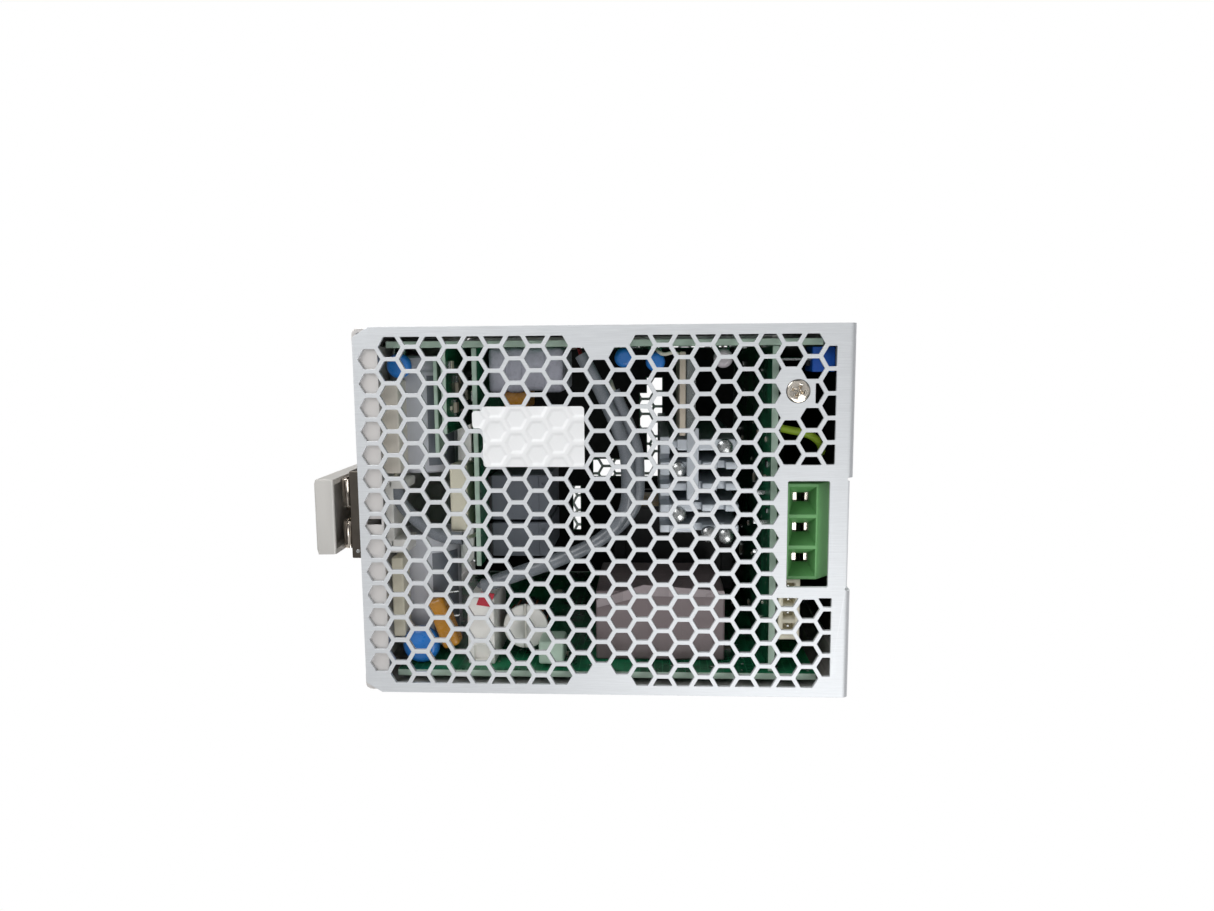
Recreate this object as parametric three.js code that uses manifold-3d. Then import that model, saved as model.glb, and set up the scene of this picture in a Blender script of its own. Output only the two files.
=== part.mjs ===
// Upright DIN-rail power supply with perforated bottom and top covers.
// Millimetres, +Z up, the front faces -Y. The origin lies on the rail seat plane,
// in the middle of the rail, so the whole housing is on the -Y side of it.

import * as THREE from 'three';
import { mergeGeometries, mergeVertices } from 'three/addons/utils/BufferGeometryUtils.js';
import Module from 'manifold-3d';

const wasm = await Module();
wasm.setup();

// ---- Driving dimensions ----------------------------------------------------

const HALF_WIDTH = 45;
const HALF_HEIGHT = 65;
const REAR_Y = -6;
const FRONT_Y = -125;
const SHEET = 1;
const GAP = 0.1;

// Hexagon mesh of the covers. Columns run along X and are counted from the rear.
const MESH_PITCH = 5.75;
const MESH_BAR = 1;
const MESH_COLUMNS = 23;
const FIRST_COLUMN = 4.45;
const MESH_SIDE_LIMIT = 42.6;
const MESH_FRONT_LIMIT = 114.5;
const NOTCH_COLUMN = 11;
const PLUG_COLUMN = 20;

// Each cover's front return, its mesh-free band for the plugs and the plug windows in it.
const RETURN_EDGE_Z = 36;
const WINDOW_REAR_Y = -109.7;
const WINDOW_FRONT_Y = -119.5;
const FRONT_STRIP_Y = -123.6;
const COVER_SCREW = { x: -29.3, y: -111.7, shankR: 1.5, headR: 2.7 };
const BOTTOM_PLUGS = { band: [-11.9, 20.25], windows: [[-8.1, 17.6]] };
const TOP_PLUGS = { band: [-25.5, 32.8], windows: [[-22.2, -9.8], [-3.8, 29.8]] };

// Chassis
const CHASSIS = { halfWidth: 44.8, halfHeight: 63.8, wall: 1.2, frontY: -123.8 };

// Rail adapter
const ADAPTER_X = 1.2;
const RAIL_EDGE = 17.5;
const LIP_SLOT = 1.3;
const SEAT_GROOVE_Z = 12.2;
const PLATE_Y = -2.6;
const FOOT = { halfWidth: 9.35, innerY: 0.4, outerY: 5.35, bottomZ: -63, travel: 5.5 };
const PIN_Z = -46;

// Plug-in terminals. A pole's wire comes along Z and its clamp screw lies along Y.
const PLUG = {
  rearY: -109.5, frontY: -124.3, rimZ: 61.5, backZ: 43, shoulderY: -117.5, noseZ: 54, funnelY: -113.6,
};
const CLAMP = {
  z: 51, screwHeadY: -122.6, screwTipY: -117.2, cageFrontY: -117.6, cageRearY: -110.8, wall: 0.8,
};
const TERMINALS = [
  { name: 'ac', poles: 3, pitch: 7.62, x: 4.8, side: -1 },
  { name: 'dc', poles: 4, pitch: 7.62, x: 13, side: 1 },
  { name: 'signal', poles: 2, pitch: 5.08, x: -16, side: 1 },
];

// Front controls and lights
const TRIMMER = { x: -36.55, z: -52, holeR: 2.2 };
const LIGHTS = [
  { name: 'dc_ok_light_pipe', x: -30, z: 28, finish: 'clearGreen' },
  { name: 'boost_light_pipe', x: -30, z: 21, finish: 'clearYellow' },
];

// Circuit boards
const BOARD = 1.6;
const MAIN_BOARD_X = 40.6;
const SIDE_BOARD_X = -41.6;
const FRONT_BOARD_Y = -107.9;
const REAR_CROSS_Y = -27.6;
const RELAY_CROSS_Y = -35.2;

// ---- Geometry helpers ------------------------------------------------------

function solid(geometry) {
  const bare = geometry.clone();
  bare.deleteAttribute('normal');
  bare.deleteAttribute('uv');
  const merged = mergeVertices(bare);
  return new wasm.Manifold(new wasm.Mesh({
    numProp: 3,
    vertProperties: new Float32Array(merged.attributes.position.array),
    triVerts: new Uint32Array(merged.index.array),
  }));
}

function geometryOf(manifold) {
  const mesh = manifold.getMesh();
  const geometry = new THREE.BufferGeometry();
  geometry.setAttribute('position', new THREE.BufferAttribute(new Float32Array(mesh.vertProperties), 3));
  geometry.setIndex(new THREE.BufferAttribute(new Uint32Array(mesh.triVerts), 1));
  geometry.computeVertexNormals();
  return geometry;
}

function join(first, ...others) {
  return geometryOf(others.reduce((sum, other) => sum.add(solid(other)), solid(first)));
}

function cut(first, ...tools) {
  return geometryOf(tools.reduce((rest, tool) => rest.subtract(solid(tool)), solid(first)));
}

// A box from its low and high corner.
function block([x0, y0, z0], [x1, y1, z1]) {
  const box = new THREE.BoxGeometry(x1 - x0, y1 - y0, z1 - z0);
  return box.translate((x0 + x1) / 2, (y0 + y1) / 2, (z0 + z1) / 2);
}

// A cylinder along 'x', 'y' or 'z', from one end to the other along that axis.
function rod(axis, [x, y, z], from, to, radius, sides = 16, endRadius = radius) {
  const cylinder = new THREE.CylinderGeometry(endRadius, radius, to - from, sides);
  if (axis === 'x') cylinder.rotateZ(-Math.PI / 2);
  if (axis === 'z') cylinder.rotateX(Math.PI / 2);
  const centre = { x, y, z, [axis]: (from + to) / 2 };
  return cylinder.translate(centre.x, centre.y, centre.z);
}

const shapeOf = (points) => new THREE.Shape(points.map(([a, b]) => new THREE.Vector2(a, b)));

// A prism along X from an outline of [y, z] points.
function prismX(points, x0, x1) {
  const prism = new THREE.ExtrudeGeometry(shapeOf(points), { depth: x1 - x0, bevelEnabled: false });
  const turn = new THREE.Matrix4().makeBasis(
    new THREE.Vector3(0, 1, 0), new THREE.Vector3(0, 0, 1), new THREE.Vector3(1, 0, 0));
  return prism.applyMatrix4(turn).translate(x0, 0, 0);
}

// A prism along Z from an outline of [x, y] points.
function prismZ(points, z0, z1) {
  const prism = new THREE.ExtrudeGeometry(shapeOf(points), { depth: z1 - z0, bevelEnabled: false });
  return prism.translate(0, 0, z0);
}

const rectangle = (x0, x1, y0, y1) => [[x0, y0], [x1, y0], [x1, y1], [x0, y1]];

// A box drawn for the top half of the housing, put on the top (side 1) or bottom (side -1).
function sidedBlock(side, [x0, y0, z0], [x1, y1, z1]) {
  return side > 0 ? block([x0, y0, z0], [x1, y1, z1]) : block([x0, y0, -z1], [x1, y1, -z0]);
}

// A frustum along Z between two rectangles given as centre and half sizes.
function funnel([x, y], wide, narrow, wideZ, narrowZ) {
  const corners = [[-1, -1], [1, -1], [1, 1], [-1, 1]];
  const at = ([a, b], z) => corners.map(([i, j]) => [x + i * a, y + j * b, z]);
  const ends = [at(wide, wideZ), at(narrow, narrowZ)];
  const [low, high] = wideZ < narrowZ ? ends : ends.reverse();
  const geometry = new THREE.BufferGeometry();
  const faces = [[0, 2, 1], [0, 3, 2], [4, 5, 6], [4, 6, 7]];
  for (let i = 0; i < 4; i += 1) {
    const next = (i + 1) % 4;
    faces.push([i, next, next + 4], [i, next + 4, i + 4]);
  }
  geometry.setAttribute('position', new THREE.Float32BufferAttribute([...low, ...high].flat(), 3));
  geometry.setIndex(faces.flat());
  return geometry;
}

// ---- Materials and the object's group ---------------------------------------

const finishes = {
  coverSheet: { color: '#d3d4d6', roughness: 0.45, metalness: 0.85 },
  chassisSheet: { color: '#c9c6c4', roughness: 0.4, metalness: 0.9 },
  label: { color: '#f1f2f2', roughness: 0.5, metalness: 0 },
  nickel: { color: '#d8cfc0', roughness: 0.25, metalness: 1 },
  castAluminium: { color: '#c4c3c0', roughness: 0.5, metalness: 0.9 },
  darkSteel: { color: '#5b5650', roughness: 0.45, metalness: 0.9 },
  springSteel: { color: '#b9b1a5', roughness: 0.2, metalness: 1 },
  greenPlastic: { color: '#4f9a52', roughness: 0.5, metalness: 0 },
  bluePlastic: { color: '#1f63c4', roughness: 0.4, metalness: 0 },
  blueLacquer: { color: '#2f7fd6', roughness: 0.35, metalness: 0 },
  whitePlastic: { color: '#e9e7e1', roughness: 0.45, metalness: 0 },
  clearGreen: { color: '#58c46a', roughness: 0.2, metalness: 0 },
  clearYellow: { color: '#e2c244', roughness: 0.2, metalness: 0 },
  boardGreen: { color: '#1d5a3c', roughness: 0.5, metalness: 0 },
  greyPlastic: { color: '#6a6f78', roughness: 0.5, metalness: 0 },
  lavenderTape: { color: '#a3a3b3', roughness: 0.45, metalness: 0 },
  mauveTape: { color: '#85777f', roughness: 0.5, metalness: 0 },
  yellowTape: { color: '#c99a2b', roughness: 0.45, metalness: 0 },
  greySleeve: { color: '#8b8e92', roughness: 0.6, metalness: 0 },
  lightSleeve: { color: '#b4b7ba', roughness: 0.45, metalness: 0 },
  ochreResin: { color: '#b87d1d', roughness: 0.4, metalness: 0 },
  heatSinkAluminium: { color: '#a9acb0', roughness: 0.4, metalness: 0.95 },
};

const supply = new THREE.Group();

function add(name, geometry, finish) {
  const mesh = new THREE.Mesh(geometry, new THREE.MeshStandardMaterial(finishes[finish]));
  mesh.name = name;
  supply.add(mesh);
}

// ---- Perforated covers -------------------------------------------------------

const columnPitch = (MESH_PITCH * Math.sqrt(3)) / 2;

function hexagon(x, y) {
  const radius = (MESH_PITCH - MESH_BAR) / Math.sqrt(3);
  const corners = [];
  for (let i = 0; i < 6; i += 1) {
    const angle = (i * Math.PI) / 3 + Math.PI / 2;
    corners.push([x + radius * Math.cos(angle), y + radius * Math.sin(angle)]);
  }
  return corners;
}

// Keeps the part of a convex outline where sign * (coordinate - limit) is below zero.
function clip(points, coordinate, limit, sign) {
  const kept = [];
  points.forEach((point, i) => {
    const next = points[(i + 1) % points.length];
    const here = sign * (point[coordinate] - limit);
    const there = sign * (next[coordinate] - limit);
    if (here <= 0) kept.push(point);
    if (here * there < 0) {
      const t = here / (here - there);
      kept.push([0, 1].map((c) => point[c] + t * (next[c] - point[c])));
    }
  });
  return kept;
}

// One hole of the mesh, or an empty outline where the sheet stays whole.
// Half-pitch row numbers are odd in even columns and even in odd columns.
function meshHole(column, row, band) {
  const x = (row * MESH_PITCH) / 2;
  const y = REAR_Y - FIRST_COLUMN - column * columnPitch;
  const atEnd = column === 0 || column === MESH_COLUMNS - 1;
  const inNotch = Math.abs(column - NOTCH_COLUMN) <= 1;
  const underScrewHead = column === PLUG_COLUMN && (row === -11 || row === -9);
  if (underScrewHead || (Math.abs(row) === 15 && atEnd) || (Math.abs(row) >= 14 && inNotch)) return [];
  let hole = clip(hexagon(x, y), 0, MESH_SIDE_LIMIT, 1);
  hole = clip(hole, 0, -MESH_SIDE_LIMIT, -1);
  hole = clip(hole, 1, REAR_Y - MESH_FRONT_LIMIT, -1);
  if (column === PLUG_COLUMN + 1 && row === -10) hole = clip(hole, 1, COVER_SCREW.y - 4, 1);
  if (column >= PLUG_COLUMN) {
    const leftOfBand = x < (band[0] + band[1]) / 2;
    hole = leftOfBand ? clip(hole, 0, band[0], 1) : clip(hole, 0, band[1], -1);
  }
  return hole;
}

function meshHoles(band) {
  const holes = [];
  for (let column = 0; column < MESH_COLUMNS; column += 1) {
    const outermost = column % 2 === 0 ? 15 : 14;
    for (let row = -outermost; row <= outermost; row += 2) {
      const hole = meshHole(column, row, band);
      if (hole.length > 2) holes.push(hole);
    }
  }
  return holes;
}

// A cover is one bent sheet: the perforated face and a return down the front.
function coverGeometry(side, plugs, frontHoles) {
  const [rearChamferY, rearChamferX] = [REAR_Y - 4.5, HALF_WIDTH - 2.2];
  const outline = [
    [-HALF_WIDTH, FRONT_Y], [HALF_WIDTH, FRONT_Y], [HALF_WIDTH, rearChamferY],
    [rearChamferX, REAR_Y], [-rearChamferX, REAR_Y], [-HALF_WIDTH, rearChamferY],
  ];
  const windows = plugs.windows.map(([x0, x1]) => rectangle(x0, x1, WINDOW_FRONT_Y, WINDOW_REAR_Y));
  const lowZ = side > 0 ? HALF_HEIGHT - SHEET : -HALF_HEIGHT;
  const face = prismZ(outline, lowZ, lowZ + SHEET);
  const outlines = [...meshHoles(plugs.band), ...windows];
  const punches = outlines.map((hole) => prismZ(hole, lowZ - 1, lowZ + SHEET + 1));
  const frontReturn = sidedBlock(side,
    [-HALF_WIDTH, FRONT_Y, RETURN_EDGE_Z], [HALF_WIDTH, FRONT_Y + SHEET, HALF_HEIGHT]);
  const plugOpenings = plugs.windows.map(([x0, x1]) => sidedBlock(side,
    [x0 - 0.8, FRONT_Y - 1, RETURN_EDGE_Z + 3], [x1 + 0.8, FRONT_STRIP_Y, HALF_HEIGHT + 1]));
  const screwHole = coverScrewCone(side, 0.15);
  return cut(join(face, frontReturn), mergeGeometries(punches), screwHole, ...plugOpenings, ...frontHoles);
}

function addCovers() {
  const trimmerHole = rod('y', [TRIMMER.x, 0, TRIMMER.z], FRONT_Y - 1, FRONT_Y + SHEET + 1, TRIMMER.holeR);
  add('bottom_cover', coverGeometry(-1, BOTTOM_PLUGS, [trimmerHole]), 'coverSheet');
  add('top_cover', coverGeometry(1, TOP_PLUGS, []), 'coverSheet');
  addLabel();
  addCoverScrew('cover_screw_bottom', -1);
  addCoverScrew('cover_screw_top', 1);
}

// A blank sticker on the outside of the bottom mesh.
function addLabel() {
  const z = -HALF_HEIGHT - 0.02;
  const outline = [
    [-26, -37.3], [-26, -61.6], [-11.5, -61.6], [-11.5, -37.3],
    [-20.8, -37.3], [-20.8, -34.8], [-25, -34.8], [-25, -37.3],
  ];
  add('blank_label', prismZ(outline, z - 0.15, z), 'label');
}

// The countersunk seat (with a clearance) or head (without) of a cover screw.
function coverScrewCone(side, clearance) {
  const [inner, outer] = [HALF_HEIGHT - SHEET - clearance, HALF_HEIGHT + clearance];
  const [innerR, outerR] = [COVER_SCREW.shankR + 0.3 + clearance, COVER_SCREW.headR + clearance];
  const at = [COVER_SCREW.x, COVER_SCREW.y, 0];
  if (side > 0) return rod('z', at, inner, outer, innerR, 20, outerR);
  return rod('z', at, -outer, -inner, outerR, 20, innerR);
}

// A countersunk cross-slot screw, flush with the cover.
function addCoverScrew(name, side) {
  const { x, y, shankR } = COVER_SCREW;
  const shankEnds = [side * (HALF_HEIGHT - 7), side * (HALF_HEIGHT - SHEET + 0.1)];
  const shank = rod('z', [x, y, 0], Math.min(...shankEnds), Math.max(...shankEnds), shankR, 12);
  const slots = [[1.4, 0.35], [0.35, 1.4]].map(([a, b]) => sidedBlock(side,
    [x - a, y - b, HALF_HEIGHT - 0.6], [x + a, y + b, HALF_HEIGHT + 1]));
  add(name, cut(join(coverScrewCone(side, 0), shank), ...slots), 'nickel');
}

// The front plate between the covers' returns, with holes for the light pipes.
function addFascia() {
  const z = RETURN_EDGE_Z - 0.2;
  const plate = block([-HALF_WIDTH, FRONT_Y, -z], [HALF_WIDTH, FRONT_Y + SHEET, z]);
  const holes = LIGHTS.map((light) => rod('y', [light.x, 0, light.z], FRONT_Y - 1, FRONT_Y + 2, 1.8));
  add('front_fascia', cut(plate, ...holes), 'coverSheet');
  LIGHTS.forEach((light) => {
    const pipe = rod('y', [light.x, 0, light.z], FRONT_Y - 0.4, FRONT_BOARD_Y - GAP, 1.5);
    add(light.name, pipe, light.finish);
  });
}

// ---- Chassis -----------------------------------------------------------------

// One bent sheet: the rear wall, two side walls and narrow flanges behind the covers.
function addChassis() {
  const { halfWidth: w, halfHeight: h, wall, frontY } = CHASSIS;
  const rear = block([-w, REAR_Y - wall, -h], [w, REAR_Y, h]);
  const sides = [-1, 1].flatMap((s) => {
    const [x0, x1] = s > 0 ? [w - wall, w] : [-w, wall - w];
    const [f0, f1] = s > 0 ? [w - 9, w] : [-w, 9 - w];
    return [
      block([x0, frontY, -h], [x1, REAR_Y, h]),
      block([f0, frontY, -h + 3], [f1, frontY + wall, h - 3]),
    ];
  });
  const flanges = [-1, 1].map((s) => sidedBlock(s, [4 - w, REAR_Y - 6.2, h - wall], [w - 4, REAR_Y, h]));
  const trimmerNotch = rod('y', [TRIMMER.x, 0, TRIMMER.z], frontY - 1, frontY + 3, TRIMMER.holeR + 1);
  const holes = [trimmerNotch, ...bracketScrewHoles()];
  add('chassis', cut(join(rear, ...sides, ...flanges), ...holes), 'chassisSheet');
}

// ---- Rail adapter -------------------------------------------------------------

const BRACKET_SCREWS = [-7, 7].map((dx) => [ADAPTER_X + dx, 0, 29]);
const bracketScrewHoles = () => BRACKET_SCREWS.map((at) => rod('y', at, REAR_Y - 4, REAR_Y + 4, 1.8, 12));

// The fixed half: a plate on the rear wall, the seat for the rail and the upper hook.
function addRailBracket() {
  const hookTip = LIP_SLOT + 2.2;
  const side = [
    [REAR_Y, -60], [PLATE_Y, -60], [PLATE_Y, -RAIL_EDGE - 1.5], [0, -RAIL_EDGE - 1.5], [0, RAIL_EDGE + 0.5],
    [LIP_SLOT, RAIL_EDGE + 0.5], [LIP_SLOT, RAIL_EDGE - 3.5], [hookTip, RAIL_EDGE - 3.5],
    [hookTip, RAIL_EDGE + 4], [PLATE_Y, RAIL_EDGE + 4], [PLATE_Y, 34], [REAR_Y, 34],
  ].map(([y, z]) => [y === REAR_Y ? REAR_Y + 0.02 : y, z]);
  const body = prismX(side, ADAPTER_X - 11, ADAPTER_X + 11);
  const slotLow = PIN_Z - FOOT.travel - 1.7;
  const pinSlot = block([ADAPTER_X - 1.7, -7, slotLow], [ADAPTER_X + 1.7, 0, PIN_Z + 1.7]);
  const headPocket = block([ADAPTER_X - 3.5, -7, slotLow - 2], [ADAPTER_X + 3.5, -4.4, PIN_Z + 3.7]);
  const stopHole = rod('y', [ADAPTER_X + 8.6, 0, -56], REAR_Y - 1, 0, 0.9, 12);
  // Two shallow grooves part the middle of the seat from the strips under the rail's lips.
  const seatGrooves = [-1, 1].map((side) => block(
    [ADAPTER_X - 12, -0.3, side * SEAT_GROOVE_Z - 0.2], [ADAPTER_X + 12, 0.5, side * SEAT_GROOVE_Z + 0.2]));
  const holes = [pinSlot, headPocket, stopHole, ...seatGrooves, ...bracketScrewHoles()];
  add('rail_bracket', cut(body, ...holes), 'darkSteel');
  BRACKET_SCREWS.forEach(([x, , z], i) => {
    const at = [x, 0, z];
    const head = rod('y', at, PLATE_Y + 0.02, PLATE_Y + 1.8, 3, 16, 2.3);
    const shank = rod('y', at, REAR_Y - 3, PLATE_Y + 0.1, 1.5, 12);
    const slot = block([x - 2, PLATE_Y + 1, z - 0.35], [x + 2, PLATE_Y + 3, z + 0.35]);
    add(`bracket_screw_${i + 1}`, cut(join(head, shank), slot), 'nickel');
  });
}

// The sprung half: a thick foot that hooks behind the rail's lower edge and slides down.
function addReleaseFoot() {
  const { halfWidth, innerY, outerY, bottomZ } = FOOT;
  const side = [
    [innerY, bottomZ + 0.8], [innerY + 0.8, bottomZ], [outerY - 1, bottomZ], [outerY, bottomZ + 1],
    [outerY, -RAIL_EDGE + 1], [outerY - 1.4, -RAIL_EDGE + 3.2], [LIP_SLOT, -RAIL_EDGE + 3.2],
    [LIP_SLOT, -RAIL_EDGE - 0.4], [innerY, -RAIL_EDGE - 0.4],
  ];
  const foot = prismX(side, ADAPTER_X - halfWidth, ADAPTER_X + halfWidth);
  const driverSlot = block(
    [ADAPTER_X - 4, outerY - 2, bottomZ + 6], [ADAPTER_X + 4, outerY + 1, bottomZ + 8]);
  add('release_foot', cut(foot, driverSlot), 'castAluminium');
  const shank = rod('y', [ADAPTER_X, 0, PIN_Z], REAR_Y + 0.6, innerY - 0.02, 1.4, 16);
  const head = rod('y', [ADAPTER_X, 0, PIN_Z], REAR_Y + 0.3, REAR_Y + 1.3, 3, 20);
  add('foot_guide_pin', join(shank, head), 'nickel');
}

// A hairpin leaf spring between the plate and the foot, slotted around the guide pin.
function addFootSpring() {
  const [rear, front, bendZ, topZ] = [PLATE_Y + 0.1, FOOT.innerY - 0.1, -57, -27];
  const radius = (front - rear) / 2;
  const centreY = (front + rear) / 2;
  const thickness = 0.5;
  const arc = (r, from, to) => Array.from({ length: 9 }, (_, i) => {
    const angle = from + ((to - from) * i) / 8;
    return [centreY + r * Math.cos(angle), bendZ + r * Math.sin(angle)];
  });
  const side = [
    [rear, topZ], ...arc(radius, Math.PI, 2 * Math.PI), [front, topZ - 8],
    [front - thickness, topZ - 8], ...arc(radius - thickness, 2 * Math.PI, Math.PI),
    [rear + thickness, topZ],
  ];
  const strip = prismX(side, ADAPTER_X - 8.8, ADAPTER_X + 8.8);
  const pinSlot = block(
    [ADAPTER_X - 2, rear - 1, bendZ - radius - 1], [ADAPTER_X + 2, front + 1, PIN_Z + 4]);
  add('foot_spring', cut(strip, pinSlot), 'springSteel');
}

// ---- Plug-in terminals ----------------------------------------------------------

function polesOf({ poles, pitch, x }) {
  return Array.from({ length: poles }, (_, i) => x + (i - (poles - 1) / 2) * pitch);
}

function addTerminal(terminal) {
  const { name, poles, pitch, x, side } = terminal;
  const halfWidth = (poles * pitch) / 2 + 0.4;
  const mirror = (points) => (side > 0 ? points : points.map(([y, z]) => [y, -z]).reverse());
  const { rearY, frontY, rimZ, backZ, shoulderY, noseZ } = PLUG;

  const plugSide = mirror([
    [frontY, backZ], [rearY, backZ], [rearY, rimZ], [shoulderY, rimZ], [frontY, noseZ],
  ]);
  const cageHalf = pitch * 0.32;
  const screwR = pitch * 0.25;
  const tools = polesOf(terminal).flatMap((poleX) => [
    funnel([poleX, PLUG.funnelY], [pitch / 2 - 0.4, 3.7], [1.3, 2.1], side * (rimZ + 0.01), side * 56),
    sidedBlock(side, [poleX - 1.3, PLUG.funnelY - 2.1, 55], [poleX + 1.3, PLUG.funnelY + 2.1, 56.5]),
    sidedBlock(side, [poleX - cageHalf - 0.2, -119.4, 45], [poleX + cageHalf + 0.2, -110.6, 55.2]),
    rod('y', [poleX, 0, side * CLAMP.z], frontY - 1, -119, screwR + 0.2),
  ]);
  add(`${name}_plug`, cut(prismX(plugSide, x - halfWidth, x + halfWidth), ...tools), 'greenPlastic');

  polesOf(terminal).forEach((poleX, i) => {
    const { cageFrontY, cageRearY, wall } = CLAMP;
    const inner = cageHalf - wall;
    const cage = sidedBlock(side, [poleX - cageHalf, cageFrontY, 46], [poleX + cageHalf, cageRearY, 54.9]);
    const wireHole = sidedBlock(side,
      [poleX - inner, cageFrontY + wall, 44], [poleX + inner, cageRearY - 1.2, 57]);
    const at = [poleX, 0, side * CLAMP.z];
    const thread = rod('y', at, cageFrontY - 1, CLAMP.screwTipY + 1.8, screwR + 0.1);
    add(`${name}_clamp_cage_${i + 1}`, cut(cage, wireHole, thread), 'nickel');
    const screw = rod('y', at, CLAMP.screwHeadY, CLAMP.screwTipY, screwR);
    const slot = block([poleX - 3, -123, side * CLAMP.z - 0.4], [poleX + 3, -121.9, side * CLAMP.z + 0.4]);
    add(`${name}_clamp_screw_${i + 1}`, cut(screw, slot), 'nickel');
  });

  const shroud = mirror([
    [FRONT_BOARD_Y - GAP, 41], [FRONT_BOARD_Y - GAP, 55], [rearY + 0.3, 55], [rearY + 0.3, backZ - 0.3],
    [-118, backZ - 0.3], [-118, 41],
  ]);
  const ends = [-1, 1].map((end) => {
    const inner = x + end * (halfWidth + 0.3);
    const [x0, x1] = end > 0 ? [inner, inner + 1] : [inner - 1, inner];
    return sidedBlock(side, [x0, -118, 41], [x1, FRONT_BOARD_Y - GAP, 53]);
  });
  const shroudHalf = halfWidth + 1.3;
  add(`${name}_header`, join(prismX(shroud, x - shroudHalf, x + shroudHalf), ...ends), 'greenPlastic');
}

// ---- Trimmer --------------------------------------------------------------------

// The voltage trimmer: a blue body on a stem from the front board, and its turning rotor.
function addTrimmer() {
  const { x, z } = TRIMMER;
  const body = block([x - 3.05, -121.7, z - 5], [x + 3.05, -116.2, z + 5]);
  const stem = block([x - 2, -116.3, z - 3], [x + 2, FRONT_BOARD_Y - GAP, z + 3]);
  add('voltage_trimmer', join(body, stem), 'bluePlastic');
  const rotor = rod('y', [x, 0, z], -123.4, -121.8, 1.9, 20);
  const slots = [[1.3, 0.3], [0.3, 1.3]].map(
    ([a, b]) => block([x - a, -124, z - b], [x + a, -122.8, z + b]));
  add('trimmer_rotor', cut(rotor, ...slots), 'whitePlastic');
}

// ---- Circuit boards and what stands on them -----------------------------------------

function addBoards() {
  add('main_board', block([MAIN_BOARD_X, -118, -61], [MAIN_BOARD_X + BOARD, -13.4, 61]), 'boardGreen');
  add('side_board', block([SIDE_BOARD_X, -118, -61], [SIDE_BOARD_X + BOARD, -13.4, 61]), 'boardGreen');
  add('front_board', block([-39.9, FRONT_BOARD_Y, -60], [40.5, FRONT_BOARD_Y + BOARD, 60]), 'boardGreen');
  add('rear_cross_board', block([-39.9, REAR_CROSS_Y, -60], [-19, REAR_CROSS_Y + 1.2, 8]), 'boardGreen');
  add('relay_cross_board', block([-39.9, RELAY_CROSS_Y, -60], [14, RELAY_CROSS_Y + 1.2, 18]), 'boardGreen');
}

// A box with its four long edges chamfered, standing along Z.
function softBlock([x0, y0, z0], [x1, y1, z1], c) {
  const outline = [
    [x0 + c, y0], [x1 - c, y0], [x1, y0 + c], [x1, y1 - c],
    [x1 - c, y1], [x0 + c, y1], [x0, y1 - c], [x0, y0 + c],
  ];
  return prismZ(outline, z0, z1);
}

function addComponents() {
  const onMain = MAIN_BOARD_X - GAP;
  const onSide = SIDE_BOARD_X + BOARD + GAP;
  const onRelayBoard = RELAY_CROSS_Y - GAP;
  add('boxed_choke', softBlock([22.1, -96.4, -53], [onMain, -62.9, -22], 0.8), 'mauveTape');
  add('output_transformer', softBlock([8, -102, -12], [onMain, -66, 24], 2), 'yellowTape');
  add('wrapped_transformer', softBlock([onSide, -55.7, -55], [-28.7, -37.1, -26], 2), 'lavenderTape');
  add('relay_1', softBlock([-7.4, -51.2, -50], [4.3, onRelayBoard, -26], 0.6), 'greyPlastic');
  add('relay_2', softBlock([5, -51.2, -50], [13.9, onRelayBoard, -26], 0.6), 'greyPlastic');
  add('fuse_holder', softBlock([23.1, -37.5, -57], [onMain, -30.6, -38], 0.6), 'whitePlastic');
  add('ring_choke', rod('z', [32.2, -44.7, 0], -52, -42, 5.5, 24), 'whitePlastic');
  add('surge_disc', rod('z', [35.6, -18.4, 0], -58, -54, 4.8, 24), 'blueLacquer');
  add('film_capacitor', softBlock([21, -25, -58], [30.6, -20.4, -52.8], 1.4), 'ochreResin');
  add('bulk_capacitor_1', rod('x', [0, -17.6, -43], -38, -8, 8.5, 24), 'lightSleeve');
  add('bulk_capacitor_2', rod('x', [0, -17.6, -43], 8, 38, 8.5, 24), 'lightSleeve');
}

// A stamped aluminium comb that stands between the boards.
function addHeatSink() {
  const web = block([-17, -82.4, -48], [8, -79.6, 34]);
  const fins = [-16, -10.5, -5, 0.5, 6].map((x) => block([x, -100, -48], [x + 2, -80, 34]));
  add('heat_sink', join(web, ...fins), 'heatSinkAluminium');
}

// Two grey insulating sleeves with the wires between the boards, held along their whole way.
function addSleeve(name, points, radius, finish) {
  const route = new THREE.CatmullRomCurve3(points.map(([x, y, z]) => new THREE.Vector3(x, y, z)));
  const section = new THREE.Shape();
  section.absarc(0, 0, radius, 0, 2 * Math.PI);
  const tube = new THREE.ExtrudeGeometry(section, {
    steps: 22, curveSegments: 4, extrudePath: route, bevelEnabled: false,
  });
  add(name, tube, finish);
}

function addSleeves() {
  addSleeve('cable_sleeve', [
    [-38, -60.4, -56], [-27.9, -65.7, -57], [-15.8, -70.8, -57.5], [-7.1, -71.7, -58], [0.7, -70.8, -58],
    [7.6, -64.8, -58], [12.8, -54.5, -58], [16.5, -44.4, -58], [20.1, -34.9, -57],
  ], 1.7, 'greySleeve');
  addSleeve('rear_sleeve', [
    [-8, -13.5, -57], [-3, -14, -57], [1.5, -16.9, -57], [6.7, -23.8, -57], [7.6, -30, -57],
  ], 1.7, 'greySleeve');
}

addChassis();
addCovers();
addFascia();
addRailBracket();
addReleaseFoot();
addFootSpring();
TERMINALS.forEach(addTerminal);
addTrimmer();
addBoards();
addComponents();
addHeatSink();
addSleeves();

export default supply;
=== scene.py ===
"""Looks of the upright DIN-rail power supply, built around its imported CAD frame.

Lengths are written in millimetres, in the row's own frame, and scaled by MM when a mesh is made.
"""
import math
import random

import bmesh
import bpy
from mathutils import Matrix, Vector


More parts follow.
